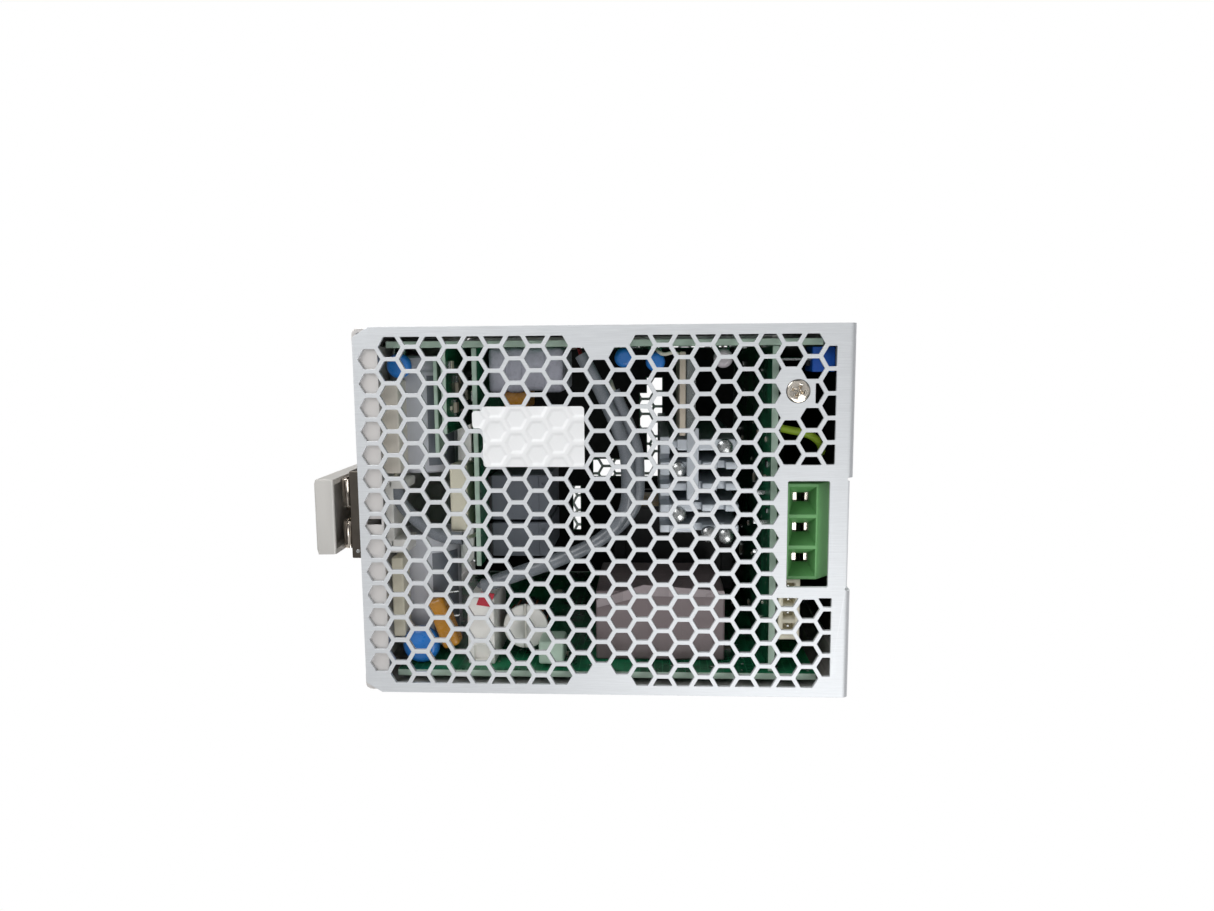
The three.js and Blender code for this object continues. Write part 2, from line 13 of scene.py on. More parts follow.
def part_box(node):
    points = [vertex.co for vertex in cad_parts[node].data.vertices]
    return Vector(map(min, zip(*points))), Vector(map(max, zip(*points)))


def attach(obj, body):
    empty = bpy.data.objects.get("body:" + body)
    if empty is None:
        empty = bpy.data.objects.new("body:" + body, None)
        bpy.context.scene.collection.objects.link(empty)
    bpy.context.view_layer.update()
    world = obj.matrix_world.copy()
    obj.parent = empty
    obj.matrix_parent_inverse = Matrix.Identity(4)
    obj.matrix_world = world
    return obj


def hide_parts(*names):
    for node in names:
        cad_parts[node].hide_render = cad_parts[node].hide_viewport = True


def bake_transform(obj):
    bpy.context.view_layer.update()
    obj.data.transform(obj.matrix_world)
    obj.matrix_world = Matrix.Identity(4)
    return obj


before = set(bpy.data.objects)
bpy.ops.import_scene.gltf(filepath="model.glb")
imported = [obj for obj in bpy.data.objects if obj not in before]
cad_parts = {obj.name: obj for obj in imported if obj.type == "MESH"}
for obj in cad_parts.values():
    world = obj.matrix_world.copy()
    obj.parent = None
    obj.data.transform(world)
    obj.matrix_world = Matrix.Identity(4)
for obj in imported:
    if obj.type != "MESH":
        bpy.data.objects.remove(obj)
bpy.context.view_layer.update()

MM = 0.001

# ---- Driving dimensions, read from the frame where it has them ------------------


def node_box(node):
    """A CAD node's lowest and highest corner, in millimetres."""
    low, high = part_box(node)
    return low / MM, high / MM


def node_middle(node):
    """The middle of a CAD node's box, in millimetres."""
    low, high = node_box(node)
    return (low + high) / 2


cover_low, cover_high = node_box("bottom_cover")
HALF_WIDTH = cover_high.x
HALF_HEIGHT = -cover_low.z
REAR_Y, FRONT_Y = cover_high.y, cover_low.y
RETURN_EDGE_Z = -cover_high.z
SHEET = 1.0

# Hexagon mesh of the covers: columns run along X and are counted from the rear.
MESH_PITCH, MESH_BAR, MESH_COLUMNS = 5.75, 1.0, 23
COLUMN_PITCH = MESH_PITCH * math.sqrt(3) / 2
FIRST_COLUMN, SIDE_LIMIT, FRONT_LIMIT = 4.45, 42.6, 114.5
NOTCH_COLUMN, PLUG_COLUMN = 11, 20
HOLE_FILLET = 0.22
WINDOW_REAR, WINDOW_FRONT, STRIP_EDGE = 103.7, 113.5, 118.1
BEND_RADIUS = 1.5
COVER_SCREW = (-29.3, -111.7)
BOTTOM_PLUGS = {"band": (-11.9, 20.25), "windows": [(-8.1, 17.6)]}
TOP_PLUGS = {"band": (-25.5, 32.8), "windows": [(-22.2, -9.8), (-3.8, 29.8)]}

TERMINALS = {"ac": (3, 7.62, -1), "dc": (4, 7.62, 1), "signal": (2, 5.08, 1)}
ADAPTER_X = node_middle("release_foot").x
TRIMMER_X, TRIMMER_Z = node_middle("trimmer_rotor").xz

# ---- Materials ---------------------------------------------------------------------


def linear(hex_colour):
    """A '#rrggbb' colour in linear light."""
    values = [int(hex_colour[i:i + 2], 16) / 255 for i in (1, 3, 5)]
    return [v / 12.92 if v <= 0.04045 else ((v + 0.055) / 1.055) ** 2.4 for v in values]


class Nodes:
    """A short way to build a material's node tree."""

    def __init__(self, name):
        self.material = bpy.data.materials.new(name)
        self.material.use_nodes = True
        self.tree = self.material.node_tree
        self.shader = self.tree.nodes["Principled BSDF"]

    def add(self, kind, inputs=None, **settings):
        """A new node, with its inputs fed and its settings made."""
        node = self.tree.nodes.new(kind)
        for key, value in settings.items():
            setattr(node, key, value)
        for key, value in (inputs or {}).items():
            self.feed(node.inputs[key], value)
        return node

    def feed(self, socket, value):
        """Links a socket to another one, or sets its value."""
        if isinstance(value, bpy.types.NodeSocket):
            self.tree.links.new(value, socket)
        else:
            socket.default_value = value

    def position(self, scale, turn=(0, 0, 0)):
        """Row coordinates, scaled: a scale of 1000 counts millimetres."""
        coordinates = self.add("ShaderNodeTexCoord").outputs["Object"]
        mapping = {"Vector": coordinates, "Scale": scale, "Rotation": turn}
        return self.add("ShaderNodeMapping", mapping).outputs[0]

    def noise(self, size, stretch=(1, 1, 1), detail=4.0, rough=0.55):
        """Noise with features of about size millimetres, drawn out along an axis by stretch."""
        scale = [1 / (size * MM * s) for s in stretch]
        inputs = {"Vector": self.position(scale), "Scale": 1.0, "Detail": detail, "Roughness": rough}
        return self.add("ShaderNodeTexNoise", inputs).outputs["Fac"]

    def remap(self, value, low, high, source=(0.3, 0.7)):
        """Maps the source range of a value onto low to high."""
        limits = {"From Min": source[0], "From Max": source[1], "To Min": low, "To Max": high}
        return self.add("ShaderNodeMapRange", {"Value": value, **limits}).outputs[0]

    def blend(self, factor, first, second, mode="MIX"):
        """Mixes two colours."""
        node = self.add("ShaderNodeMix", data_type="RGBA", blend_type=mode)
        self.feed(node.inputs[0], factor)
        self.feed(node.inputs[6], first)
        self.feed(node.inputs[7], second)
        return node.outputs[2]

    def bump(self, height, depth, strength=1.0, normal=None):
        """Bump whose full height is depth millimetres."""
        inputs = {"Height": height, "Distance": depth * MM, "Strength": strength}
        if normal is not None:
            inputs["Normal"] = normal
        return self.add("ShaderNodeBump", inputs).outputs[0]

    def finish(self, **sockets):
        """Feeds the shader's sockets by name and returns the material."""
        for name, value in sockets.items():
            self.feed(self.shader.inputs[name.replace("_", " ")], value)
        return self.material


def shade(colour, factor):
    """A colour made darker or lighter, with full opacity."""
    return [min(1.0, c * factor) for c in colour] + [1.0]


def plain(name, colour, rough=0.5, metal=0.0, grain=0.25, mottle=0.06, relief=0.012,
          stretch=(1, 1, 1), **sockets):
    """Moulded, cast or dipped surfaces: fine grain in the normal, slow change in tone and gloss."""
    n = Nodes(name)
    base = linear(colour)
    fine = n.noise(grain, stretch)
    broad = n.noise(grain * 28, detail=3.0)
    tone = n.blend(n.remap(broad, 0, 1), shade(base, 1 - mottle), shade(base, 1 + mottle))
    tone = n.blend(n.remap(fine, 0, mottle * 2), tone, shade(base, 0.7))
    gloss = n.remap(fine, max(0.02, rough - 0.06), min(1, rough + 0.08))
    return n.finish(Base_Color=tone, Roughness=gloss, Metallic=metal, Normal=n.bump(fine, relief), **sockets)


def rolled_sheet(name, colour, rough, metal, along, streak=0.05):
    """Sheet metal with rolling streaks along one axis (0, 1 or 2), smudges and painted highlights on convex
    edges.
    """
    n = Nodes(name)
    base = linear(colour)
    stretch = [60 if i == along else 1 for i in range(3)]
    streaks = n.noise(0.12, stretch, detail=6.0, rough=0.7)
    smudge = n.noise(22, detail=3.0)
    edge_highlight = n.add("ShaderNodeNewGeometry").outputs["Pointiness"]
    tone = n.blend(n.remap(streaks, 0, 1), shade(base, 1 - streak), shade(base, 1 + streak))
    tone = n.blend(n.remap(smudge, 0, 0.10), tone, shade(base, 0.86))
    # Painted highlight: convex edges are made a quarter lighter.
    tone = n.blend(n.remap(edge_highlight, 0, 0.35, (0.52, 0.60)), tone, shade(base, 1.25))
    gloss = n.remap(streaks, rough - 0.05, rough + 0.07)
    return n.finish(Base_Color=tone, Roughness=gloss, Metallic=metal, Normal=n.bump(streaks, 0.006))


def wrapped_tape(name, colour, rough, axis, width=6.0, depth=0.08, mottle=0.12):
    """Overlapping turns of tape: soft steps every width millimetres along one axis, crinkles with painted
    highlights.
    """
    n = Nodes(name)
    base = linear(colour)
    scale = [1 / (width * MM) if i == axis else 0.35 / (width * MM) for i in range(3)]
    turns = n.add("ShaderNodeTexWave", {
        "Vector": n.position(scale), "Scale": 0.16, "Distortion": 1.2, "Detail": 2.0},
        wave_type="BANDS", bands_direction="XYZ"[axis], wave_profile="SAW").outputs["Fac"]
    crinkle_and_highlight = n.noise(1.6, detail=5.0)
    tone = n.blend(n.remap(turns, 0, 1, (0, 1)), shade(base, 1 - mottle), shade(base, 1 + mottle))
    # Painted highlight: the raised parts of the crinkles are made lighter.
    tone = n.blend(n.remap(crinkle_and_highlight, 0, 0.3), tone, shade(base, 1.3))
    relief = n.bump(crinkle_and_highlight, depth, normal=n.bump(turns, depth))
    return n.finish(Base_Color=tone, Roughness=n.remap(crinkle_and_highlight, rough - 0.1, rough + 0.12), Normal=relief)


def solder_mask(name, axes, painted_light_gain=1.0):
    """Green lacquer over copper: traces, pads and a ground area. Axes are the board's two long ones."""
    n = Nodes(name)
    scale = [1 / (2.6 * MM) if i in axes else 0.0 for i in range(3)]
    quarter = math.radians(90)
    turn = {(1, 2): (0, quarter, 0), (0, 2): (quarter, 0, 0), (0, 1): (0, 0, 0)}[axes]
    traces = n.add("ShaderNodeTexBrick", {
        "Vector": n.position([1 / MM] * 3, turn), "Scale": 0.22, "Mortar Size": 0.035, "Mortar Smooth": 0.3,
        "Brick Width": 2.3, "Row Height": 0.42}).outputs["Fac"]
    cells = {"Vector": n.position(scale), "Scale": 1.0, "Randomness": 0.75}
    pads = n.add("ShaderNodeTexVoronoi", cells).outputs[0]
    cloud = n.noise(9, detail=2.0)
    # The gain above one makes the whole lacquer lighter: painted light.
    dark, light = (shade(linear(colour), painted_light_gain) for colour in ("#0f4a30", "#1c6e4a"))
    mask = n.blend(n.remap(cloud, 0, 1, (0.42, 0.58)), dark, light)
    mask = n.blend(n.remap(traces, 0, 0.8, (0, 1)), mask, shade(linear("#3a9168"), 1))
    silver = n.remap(pads, 1, 0, (0.13, 0.17))
    tone = n.blend(silver, mask, shade(linear("#b9beb8"), 1))
    relief = n.bump(traces, 0.03, normal=n.bump(silver, 0.25))
    return n.finish(Base_Color=tone, Roughness=n.remap(cloud, 0.25, 0.4), Normal=relief)


def ring_winding(name, colour):
    """Enamelled copper wire."""
    n = Nodes(name)
    base = linear(colour)
    grain = n.noise(0.5, detail=3.0)
    tone = n.blend(n.remap(grain, 0, 1), shade(base, 0.75), shade(base, 1.2))
    return n.finish(Base_Color=tone, Roughness=0.3, Metallic=0.85, Coat_Weight=0.4,
                    Normal=n.bump(grain, 0.01))


M = {
    "cover": rolled_sheet("cover_sheet", "#d2d5d8", 0.45, 0.3, along=1, streak=0.11),
    "chassis": rolled_sheet("chassis_sheet", "#cfccca", 0.4, 0.45, along=2, streak=0.08),
    "fascia": rolled_sheet("fascia_sheet", "#d2d5d8", 0.45, 0.3, along=2, streak=0.11),
    "label": plain("label_film", "#e9eaeb", 0.45, grain=0.4, mottle=0.02, relief=0.004),
    "nickel": plain("nickel_plate", "#ece4d8", 0.16, 1.0, grain=0.15, mottle=0.12, relief=0.006),
    "bright_steel": plain("bright_steel", "#d6cdc2", 0.18, 1.0, grain=0.12, mottle=0.1, relief=0.006,
                          stretch=(30, 1, 1)),
    # Dark brown steel: painted shade over the rail bracket's steel.
    "dark_steel": plain("dark_steel", "#5d5750", 0.42, 0.85, grain=0.2, mottle=0.15, relief=0.01,
                        stretch=(1, 1, 20)),
    "cast": rolled_sheet("foot_aluminium", "#cfcdc9", 0.5, 0.6, along=2, streak=0.06),
    "green": plain("green_polyamide", "#639f60", 0.48, grain=0.12, mottle=0.05, relief=0.01),
    "dark_green": plain("header_polyamide", "#4c8a4e", 0.48, grain=0.12, mottle=0.05, relief=0.01),
    "blue": plain("trimmer_blue", "#1b62cf", 0.35, grain=0.2, mottle=0.06),
    "blue_lacquer": plain("blue_lacquer", "#2b83dd", 0.3, grain=0.6, mottle=0.1, relief=0.03,
                          Coat_Weight=0.5),
    "pale_lacquer": plain("pale_lacquer", "#cfc6cc", 0.35, grain=0.6, mottle=0.08, relief=0.03,
                          Coat_Weight=0.4),
    "white": plain("white_moulding", "#faf8f3", 0.42, grain=0.3, mottle=0.04),
    "cream": plain("cream_moulding", "#ebe5d0", 0.45, grain=0.3, mottle=0.07),
    "red": plain("red_mark", "#c93446", 0.45, grain=0.3, mottle=0.05),
    "mint": plain("mint_moulding", "#cfe9d6", 0.35, grain=0.3, mottle=0.05, Transmission_Weight=0.25),
    "clear": plain("clear_barrier", "#cfd6d6", 0.2, grain=0.5, mottle=0.05, Transmission_Weight=0.7),
    "black": plain("black_moulding", "#17171a", 0.45, grain=0.25, mottle=0.1),
    "graphite": plain("graphite_moulding", "#6b7079", 0.4, grain=0.22, mottle=0.05),
    "lens_green": plain("lens_green", "#63d070", 0.15, grain=0.3, mottle=0.03, Transmission_Weight=0.5),
    "lens_yellow": plain("lens_yellow", "#f0cf52", 0.15, grain=0.3, mottle=0.03, Transmission_Weight=0.5),
    "ochre": plain("ochre_resin", "#c88a2a", 0.28, grain=0.9, mottle=0.12, relief=0.04, Coat_Weight=0.5),
    "pale_card": plain("pale_card", "#efe8dc", 0.5, grain=0.4, mottle=0.06, relief=0.01, stretch=(6, 1, 1)),
    "light_sleeve": plain("light_sleeve", "#c8cad2", 0.35, grain=0.3, mottle=0.05, stretch=(12, 1, 1)),
    "grey_sleeve": plain("grey_sleeve", "#80858c", 0.26, grain=0.25, mottle=0.08, relief=0.03,
                         Coat_Weight=0.4),
    "heat_sink": rolled_sheet("heat_sink_sheet", "#cdd3da", 0.33, 0.45, along=2, streak=0.08),
    "board_edge": plain("board_edge", "#b5ccbb", 0.6, grain=0.2, mottle=0.12, relief=0.02),
    "beige": plain("beige_board", "#cbbfae", 0.55, grain=0.3, mottle=0.08),
    "mauve": wrapped_tape("mauve_tape", "#7c6f71", 0.42, axis=2, width=9, depth=0.05),
    # A lighter copy of the mauve tape, for a painted highlight on the choke.
    "mauve_highlight": wrapped_tape("mauve_tape_highlight", "#a3979a", 0.35, axis=1, width=6, depth=0.06),
    "lavender": wrapped_tape("lavender_tape", "#b9b9c6", 0.3, axis=2, width=5, depth=0.3, mottle=0.25),
    "yellow_tape": wrapped_tape("yellow_tape", "#c99a2b", 0.35, axis=2, width=8, depth=0.05),
    "ferrite": plain("ferrite", "#25262a", 0.5, 0.1, grain=0.5, mottle=0.2, relief=0.03),
    "copper": ring_winding("enamelled_copper", "#b5652f"),
    "solder": plain("solder", "#c6c8c8", 0.25, 1.0, grain=0.4, mottle=0.15, relief=0.02),
    "wire_yellow": plain("wire_yellow", "#93b02e", 0.4, grain=0.2, mottle=0.06),
    "wire_white": plain("wire_white", "#dedccb", 0.4, grain=0.2, mottle=0.06),
    "wire_red": plain("wire_red", "#b8323c", 0.4, grain=0.2, mottle=0.06),
    "mark": plain("printed_mark", "#30343a", 0.5, grain=0.3, mottle=0.04),
    # Black card that insulates and also paints the shade deep inside, behind the front and under the deck.
    "insulating_shade_card": plain("insulating_card_painted_shade", "#101112", 0.6, grain=0.5, mottle=0.1, relief=0.02),
    "film": plain("front_film", "#d0d4d8", 0.35, grain=0.5, mottle=0.02, relief=0.004),
    # The boards across X take a lacquer 1.8 times lighter: painted light.
    "mask_x": solder_mask("solder_mask_x", (1, 2), 1.8),
    "mask_y": solder_mask("solder_mask_y", (0, 2)),
    "mask_z": solder_mask("solder_mask_z", (0, 1)),
}

# ---- Mesh helpers --------------------------------------------------------------------


def linked(name, data):
    """A new object for a mesh, curve, lamp or camera, in the scene."""
    thing = bpy.data.objects.new(name, data)
    bpy.context.scene.collection.objects.link(thing)
    return thing


def final_mesh(thing):
    """The mesh of an object with its curve settings or modifiers worked out."""
    return bpy.data.meshes.new_from_object(thing.evaluated_get(bpy.context.evaluated_depsgraph_get()))


def smooth_below(bm, degrees):
    """Smooth shading, except over edges that turn by more than the given angle."""
    for face in bm.faces:
        face.smooth = True
    for edge in bm.edges:
        edge.smooth = len(edge.link_faces) == 2 and edge.calc_face_angle(0.0) < math.radians(degrees)


def finish_mesh(name, bm, smooth_angle=35.0):
    """Turns a bmesh in millimetres into an object in metres."""
    bmesh.ops.remove_doubles(bm, verts=bm.verts, dist=1e-4)
    bmesh.ops.recalc_face_normals(bm, faces=bm.faces)
    smooth_below(bm, smooth_angle)
    bmesh.ops.scale(bm, vec=(MM,) * 3, verts=bm.verts)
    mesh = bpy.data.meshes.new(name)
    bm.to_mesh(mesh)
    bm.free()
    return linked(name, mesh)


def painted(thing, *materials):
    """Gives an object only these materials, by their names in M."""
    thing.data.materials.clear()
    for material in materials:
        thing.data.materials.append(M[material])
    return thing


def put(thing, material, body="housing", slot=None, replaces=()):
    """Gives a piece its material, body and the CAD nodes that it stands for. The slot argument is not used.
    """
    if material:
        painted(thing, material)
    level_shading(thing)
    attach(thing, body)
    if replaces:
        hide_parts(*([replaces] if isinstance(replaces, str) else replaces))
    return thing


def bevelled(bm, width, segments=2, angle=25.0):
    """Bevels every edge sharper than angle."""
    sharp = [e for e in bm.edges if len(e.link_faces) == 2 and e.calc_face_angle(0.0) > math.radians(angle)]
    bmesh.ops.bevel(bm, geom=sharp, offset=width, segments=segments, profile=0.6, affect="EDGES",
                    clamp_overlap=True)
    return bm


def box_bm(low, high):
    """A box between two corners, as a bmesh in millimetres."""
    bm = bmesh.new()
    bmesh.ops.create_cube(bm, size=1.0)
    size = [b - a for a, b in zip(low, high)]
    bmesh.ops.scale(bm, vec=size, verts=bm.verts)
    bmesh.ops.translate(bm, vec=[(a + b) / 2 for a, b in zip(low, high)], verts=bm.verts)
    return bm


def rounded_box(name, low, high, bevel=0.4, segments=3):
    """A box between two corners with bevelled edges."""
    return finish_mesh(name, bevelled(box_bm(low, high), bevel, segments))


def rectangle(x0, x1, y0, y1):
    """The corners of a rectangle, counter-clockwise."""
    return [(x0, y0), (x1, y0), (x1, y1), (x0, y1)]


def close_between(bm, first, last):
    """Closes two rings of vertices into a solid."""
    bm.faces.new(first)
    bm.faces.new(last)
    for i in range(len(first)):
        j = (i + 1) % len(first)
        bm.faces.new((first[i], first[j], last[j], last[i]))
    bmesh.ops.recalc_face_normals(bm, faces=bm.faces)
    return bm


def prism_bm(outline, axis, low, high):
    """A prism along an axis from an outline in the other two axes, in X, Y, Z order."""
    bm = bmesh.new()
    others = [i for i in range(3) if i != axis]

    def vert(point, level):
        co = [0.0, 0.0, 0.0]
        co[others[0]], co[others[1]], co[axis] = point[0], point[1], level
        return bm.verts.new(co)

    return close_between(bm, *([vert(p, level) for p in outline] for level in (low, high)))


def frustum_bm(*ends):
    """A solid between two rectangles, each given by its limits in X, its limits in Y and its level in Z."""
    bm = bmesh.new()
    rings = [[bm.verts.new((x, y, z)) for x, y in rectangle(*xs, *ys)] for xs, ys, z in ends]
    return close_between(bm, *rings)


def prism(name, outline, axis, low, high, bevel=0.3, segments=2):
    """A prism with bevelled edges, as a finished object."""
    return finish_mesh(name, bevelled(prism_bm(outline, axis, low, high), bevel, segments))


def lathe_bm(profile, axis, at, sides=48):
    """Turns (radius, height) points about an axis through at. Heights count along the axis from at."""
    bm = bmesh.new()
    u, v = [i for i in range(3) if i != axis]
    rings = []
    for radius, height in profile:
        count = 1 if radius < 1e-6 else sides
        ring = []
        for i in range(count):
            angle = 2 * math.pi * i / sides
            co = list(at)
            co[u] += radius * math.cos(angle)
            co[v] += radius * math.sin(angle)
            co[axis] += height
            ring.append(bm.verts.new(co))
        rings.append(ring)
    for a, b in zip(rings, rings[1:]):
        for i in range(sides):
            j = (i + 1) % sides
            corners = [a[i % len(a)], a[j % len(a)], b[j % len(b)], b[i % len(b)]]
            unique = list(dict.fromkeys(corners))
            if len(unique) > 2:
                bm.faces.new(unique)
    for ring in (rings[0], rings[-1]):
        if len(ring) > 2:
            bm.faces.new(ring)
    bmesh.ops.recalc_face_normals(bm, faces=bm.faces)
    return bm


def lathe(name, *shape):
    """A turned solid as a finished object, from what lathe_bm takes."""
    return finish_mesh(name, lathe_bm(*shape))


def peg_bm(radius, low, high, axis, at, sides=48):
    """A plain round peg, mostly for cutting holes. Heights count along the axis from at."""
    return lathe_bm([(0, low), (radius, low), (radius, high), (0, high)], axis, at, sides)


def placed(bm, turn, axis, at):
    """Turns a bmesh by some degrees about an axis through the origin, and then moves it."""
    matrix = Matrix.Rotation(math.radians(turn), 3, axis)
    bmesh.ops.rotate(bm, cent=(0, 0, 0), matrix=matrix, verts=bm.verts)
    bmesh.ops.translate(bm, vec=at, verts=bm.verts)
    return bm


def can_profile(radius, low, high, edge):
    """A cylinder's profile with rounded ends."""
    steps = [math.radians(15 * i) for i in range(7)]
    lower = [(radius - edge + edge * math.sin(a), low + edge - edge * math.cos(a)) for a in steps]
    upper = [(radius - edge + edge * math.cos(a), high - edge + edge * math.sin(a)) for a in steps]
    return [(0.0, low)] + lower + upper + [(0.0, high)]


def carve(thing, cutters):
    """Cuts a list of bmeshes, in millimetres, out of an object, and returns the object."""
    for bm in cutters:
        combine(thing, bm, "DIFFERENCE")
    return thing


def combine(thing, bm, operation):
    """Applies one boolean operation with a bmesh in millimetres."""
    other = finish_mesh("other", bm)
    modifier = thing.modifiers.new("combine", "BOOLEAN")
    modifier.operation, modifier.solver, modifier.object = operation, "EXACT", other
    apply_modifiers(thing)
    bpy.data.objects.remove(other)


def apply_modifiers(thing):
    """Works an object's modifiers into its mesh."""
    mesh = final_mesh(thing)
    thing.modifiers.clear()
    thing.data = mesh


def level_shading(thing):
    """Weights normals by face area, so that flat faces beside rounded edges shade flat."""
    modifier = thing.modifiers.new("level", "WEIGHTED_NORMAL")
    modifier.keep_sharp = True
    apply_modifiers(thing)


def soften(thing, width, segments=2, angle=30.0):
    """Bevels a finished object's sharp edges by width millimetres."""
    bm = bmesh.new()
    bm.from_mesh(thing.data)
    bmesh.ops.dissolve_limit(bm, angle_limit=math.radians(1), verts=bm.verts, edges=bm.edges)
    bevelled(bm, width * MM, segments, angle)
    smooth_below(bm, angle)
    bm.to_mesh(thing.data)
    bm.free()
    return thing


def tube(name, points, radius, closed=False, smooth=True, sides=6):
    """A round or wire-like piece along points."""
    curve = bpy.data.curves.new(name, "CURVE")
    curve.dimensions = "3D"
    curve.resolution_u = 6
    curve.bevel_depth = radius * MM
    curve.bevel_resolution = sides // 2
    curve.use_fill_caps = True
    spline = curve.splines.new("NURBS" if smooth else "POLY")
    spline.points.add(len(points) - 1)
    for p, co in zip(spline.points, points):
        p.co = (co[0] * MM, co[1] * MM, co[2] * MM, 1)
    spline.use_cyclic_u = closed
    if smooth:
        spline.order_u = 4
        spline.use_endpoint_u = not closed
    holder = linked(name, curve)
    mesh = final_mesh(holder)
    bpy.data.objects.remove(holder)
    for polygon in mesh.polygons:
        polygon.use_smooth = True
    return linked(name, mesh)


def merged(name, things):
    """Joins objects into one, keeping their materials."""
    bm = bmesh.new()
    materials = []
    for thing in things:
        before = len(bm.faces)
        bm.from_mesh(thing.data)
        bm.faces.ensure_lookup_table()
        offsets = []
        for material in thing.data.materials:
            if material not in materials:
                materials.append(material)
            offsets.append(materials.index(material))
        for face in bm.faces[before:]:
            face.material_index = offsets[face.material_index] if offsets else 0
        bpy.data.objects.remove(thing)
    mesh = bpy.data.meshes.new(name)
    bm.to_mesh(mesh)
    bm.free()
    for material in materials:
        mesh.materials.append(material)
    return linked(name, mesh)


def assemble(name, parts, **claims):
    """One piece from painted parts, with the body, slot and CAD nodes that put takes."""
    return put(merged(name, parts), None, **claims)


def block(material, low, high, bevel, segments=3):
    """A painted rounded box, to be merged with others."""
    return painted(rounded_box("block", low, high, bevel, segments), material)


def turned(material, *shape):
    """A painted turned solid, to be merged with others."""
    return painted(lathe("turned", *shape), material)


def show_edges(board, axis, face_material):
    """Gives a board its lacquer on the two faces across an axis and bare material on its edges."""
    painted(board, face_material, "board_edge")
    for polygon in board.data.polygons:
        polygon.material_index = 0 if abs(polygon.normal[axis]) > 0.9 else 1
    return board

# ---- Perforated covers ---------------------------------------------------------------
# Drawn flat as (x, s), where s runs from the rear edge, round the front bend and down the return.


def hexagon(x, s):
    """A mesh hole about its middle, with a corner at each end of S."""
    radius = (MESH_PITCH - MESH_BAR) / math.sqrt(3)
    angles = [math.radians(90 + 60 * i) for i in range(6)]
    return [(x + radius * math.cos(a), s + radius * math.sin(a)) for a in angles]


def clip(points, axis, limit, sign):
    """Keeps the part of a convex outline where sign * (coordinate - limit) is below zero."""
    kept = []
    for here, there in zip(points, points[1:] + points[:1]):
        a, b = sign * (here[axis] - limit), sign * (there[axis] - limit)
        if a <= 0:
            kept.append(here)
        if a * b < 0:
            t = a / (a - b)
            kept.append(tuple(here[i] + t * (there[i] - here[i]) for i in (0, 1)))
    return kept


def corner_curve(first, here, last, steps):
    """Points from first to last on a smooth curve that bends towards here."""
    shares = [k / steps for k in range(steps + 1)]
    return [tuple((1 - t) ** 2 * first + 2 * t * (1 - t) * here + t * t * last) for t in shares]


def filleted(points, radius, steps=4):
    """An outline with rounded corners."""
    rounded = []
    count = len(points)
    for i in range(count):
        before, here, after = (Vector(points[(i + k) % count]) for k in (-1, 0, 1))
        back, ahead = before - here, after - here
        if back.length < 1e-5 or ahead.length < 1e-5:
            continue
        turn = math.pi - back.angle(ahead)
        reach = min(radius * math.tan(turn / 2), 0.45 * back.length, 0.45 * ahead.length)
        first, last = here + back.normalized() * reach, here + ahead.normalized() * reach
        rounded += corner_curve(first, here, last, steps)
    return rounded


def mesh_hole(column, row, band):
    """The outline of one hole, cut short at the edges, or nothing where the sheet stays whole."""
    x, s = row * MESH_PITCH / 2, FIRST_COLUMN + column * COLUMN_PITCH
    at_end = column in (0, MESH_COLUMNS - 1)
    in_notch = abs(column - NOTCH_COLUMN) <= 1
    under_head = column == PLUG_COLUMN and row in (-11, -9)
    if under_head or (abs(row) == 15 and at_end) or (abs(row) >= 14 and in_notch):
        return []
    hole = clip(hexagon(x, s), 0, SIDE_LIMIT, 1)
    hole = clip(hole, 0, -SIDE_LIMIT, -1)
    hole = clip(hole, 1, FRONT_LIMIT, 1)
    if column == PLUG_COLUMN + 1 and row == -10:
        hole = clip(hole, 1, REAR_Y - COVER_SCREW[1] + 4, -1)
    if column >= PLUG_COLUMN:
        left = x < sum(band) / 2
        hole = clip(hole, 0, band[0] if left else band[1], 1 if left else -1)
    return hole if len(hole) > 2 else []


def mesh_holes(band):
    """Every hole of a cover; band is the part in X that the plugs keep free."""
    holes = []
    for column in range(MESH_COLUMNS):
        outermost = 15 - column % 2
        for row in range(-outermost, outermost + 1, 2):
            hole = mesh_hole(column, row, band)
            if hole:
                holes.append(filleted(hole, HOLE_FILLET))
    return holes


def circle(x, s, radius, count=32):
    """A round outline."""
    angles = [2 * math.pi * i / count for i in range(count)]
    return [(x + radius * math.cos(a), s + radius * math.sin(a)) for a in angles]


BEND_START = REAR_Y - FRONT_Y - BEND_RADIUS
BEND_END = BEND_START + BEND_RADIUS * math.pi / 2
SHEET_END = BEND_END + HALF_HEIGHT - BEND_RADIUS - RETURN_EDGE_Z
SHEET_BEVEL = 0.07


def flat_sheet(loops, thickness, bevel):
    """A flat sheet with holes and softened edges, centred on Z, as a bmesh in millimetres."""
    curve = bpy.data.curves.new("sheet", "CURVE")
    curve.dimensions, curve.fill_mode = "2D", "BOTH"
    curve.extrude, curve.bevel_depth, curve.bevel_resolution = thickness / 2 - bevel, bevel, 1
    curve.offset = -bevel
    for loop in loops:
        spline = curve.splines.new("POLY")
        spline.points.add(len(loop) - 1)
        for point, (x, s) in zip(spline.points, loop):
            point.co = (x, s, 0, 1)
        spline.use_cyclic_u = True
    holder = linked("sheet", curve)
    mesh = final_mesh(holder)
    bpy.data.objects.remove(holder)
    bm = bmesh.new()
    bm.from_mesh(mesh)
    bmesh.ops.remove_doubles(bm, verts=bm.verts, dist=1e-4)
    return bm


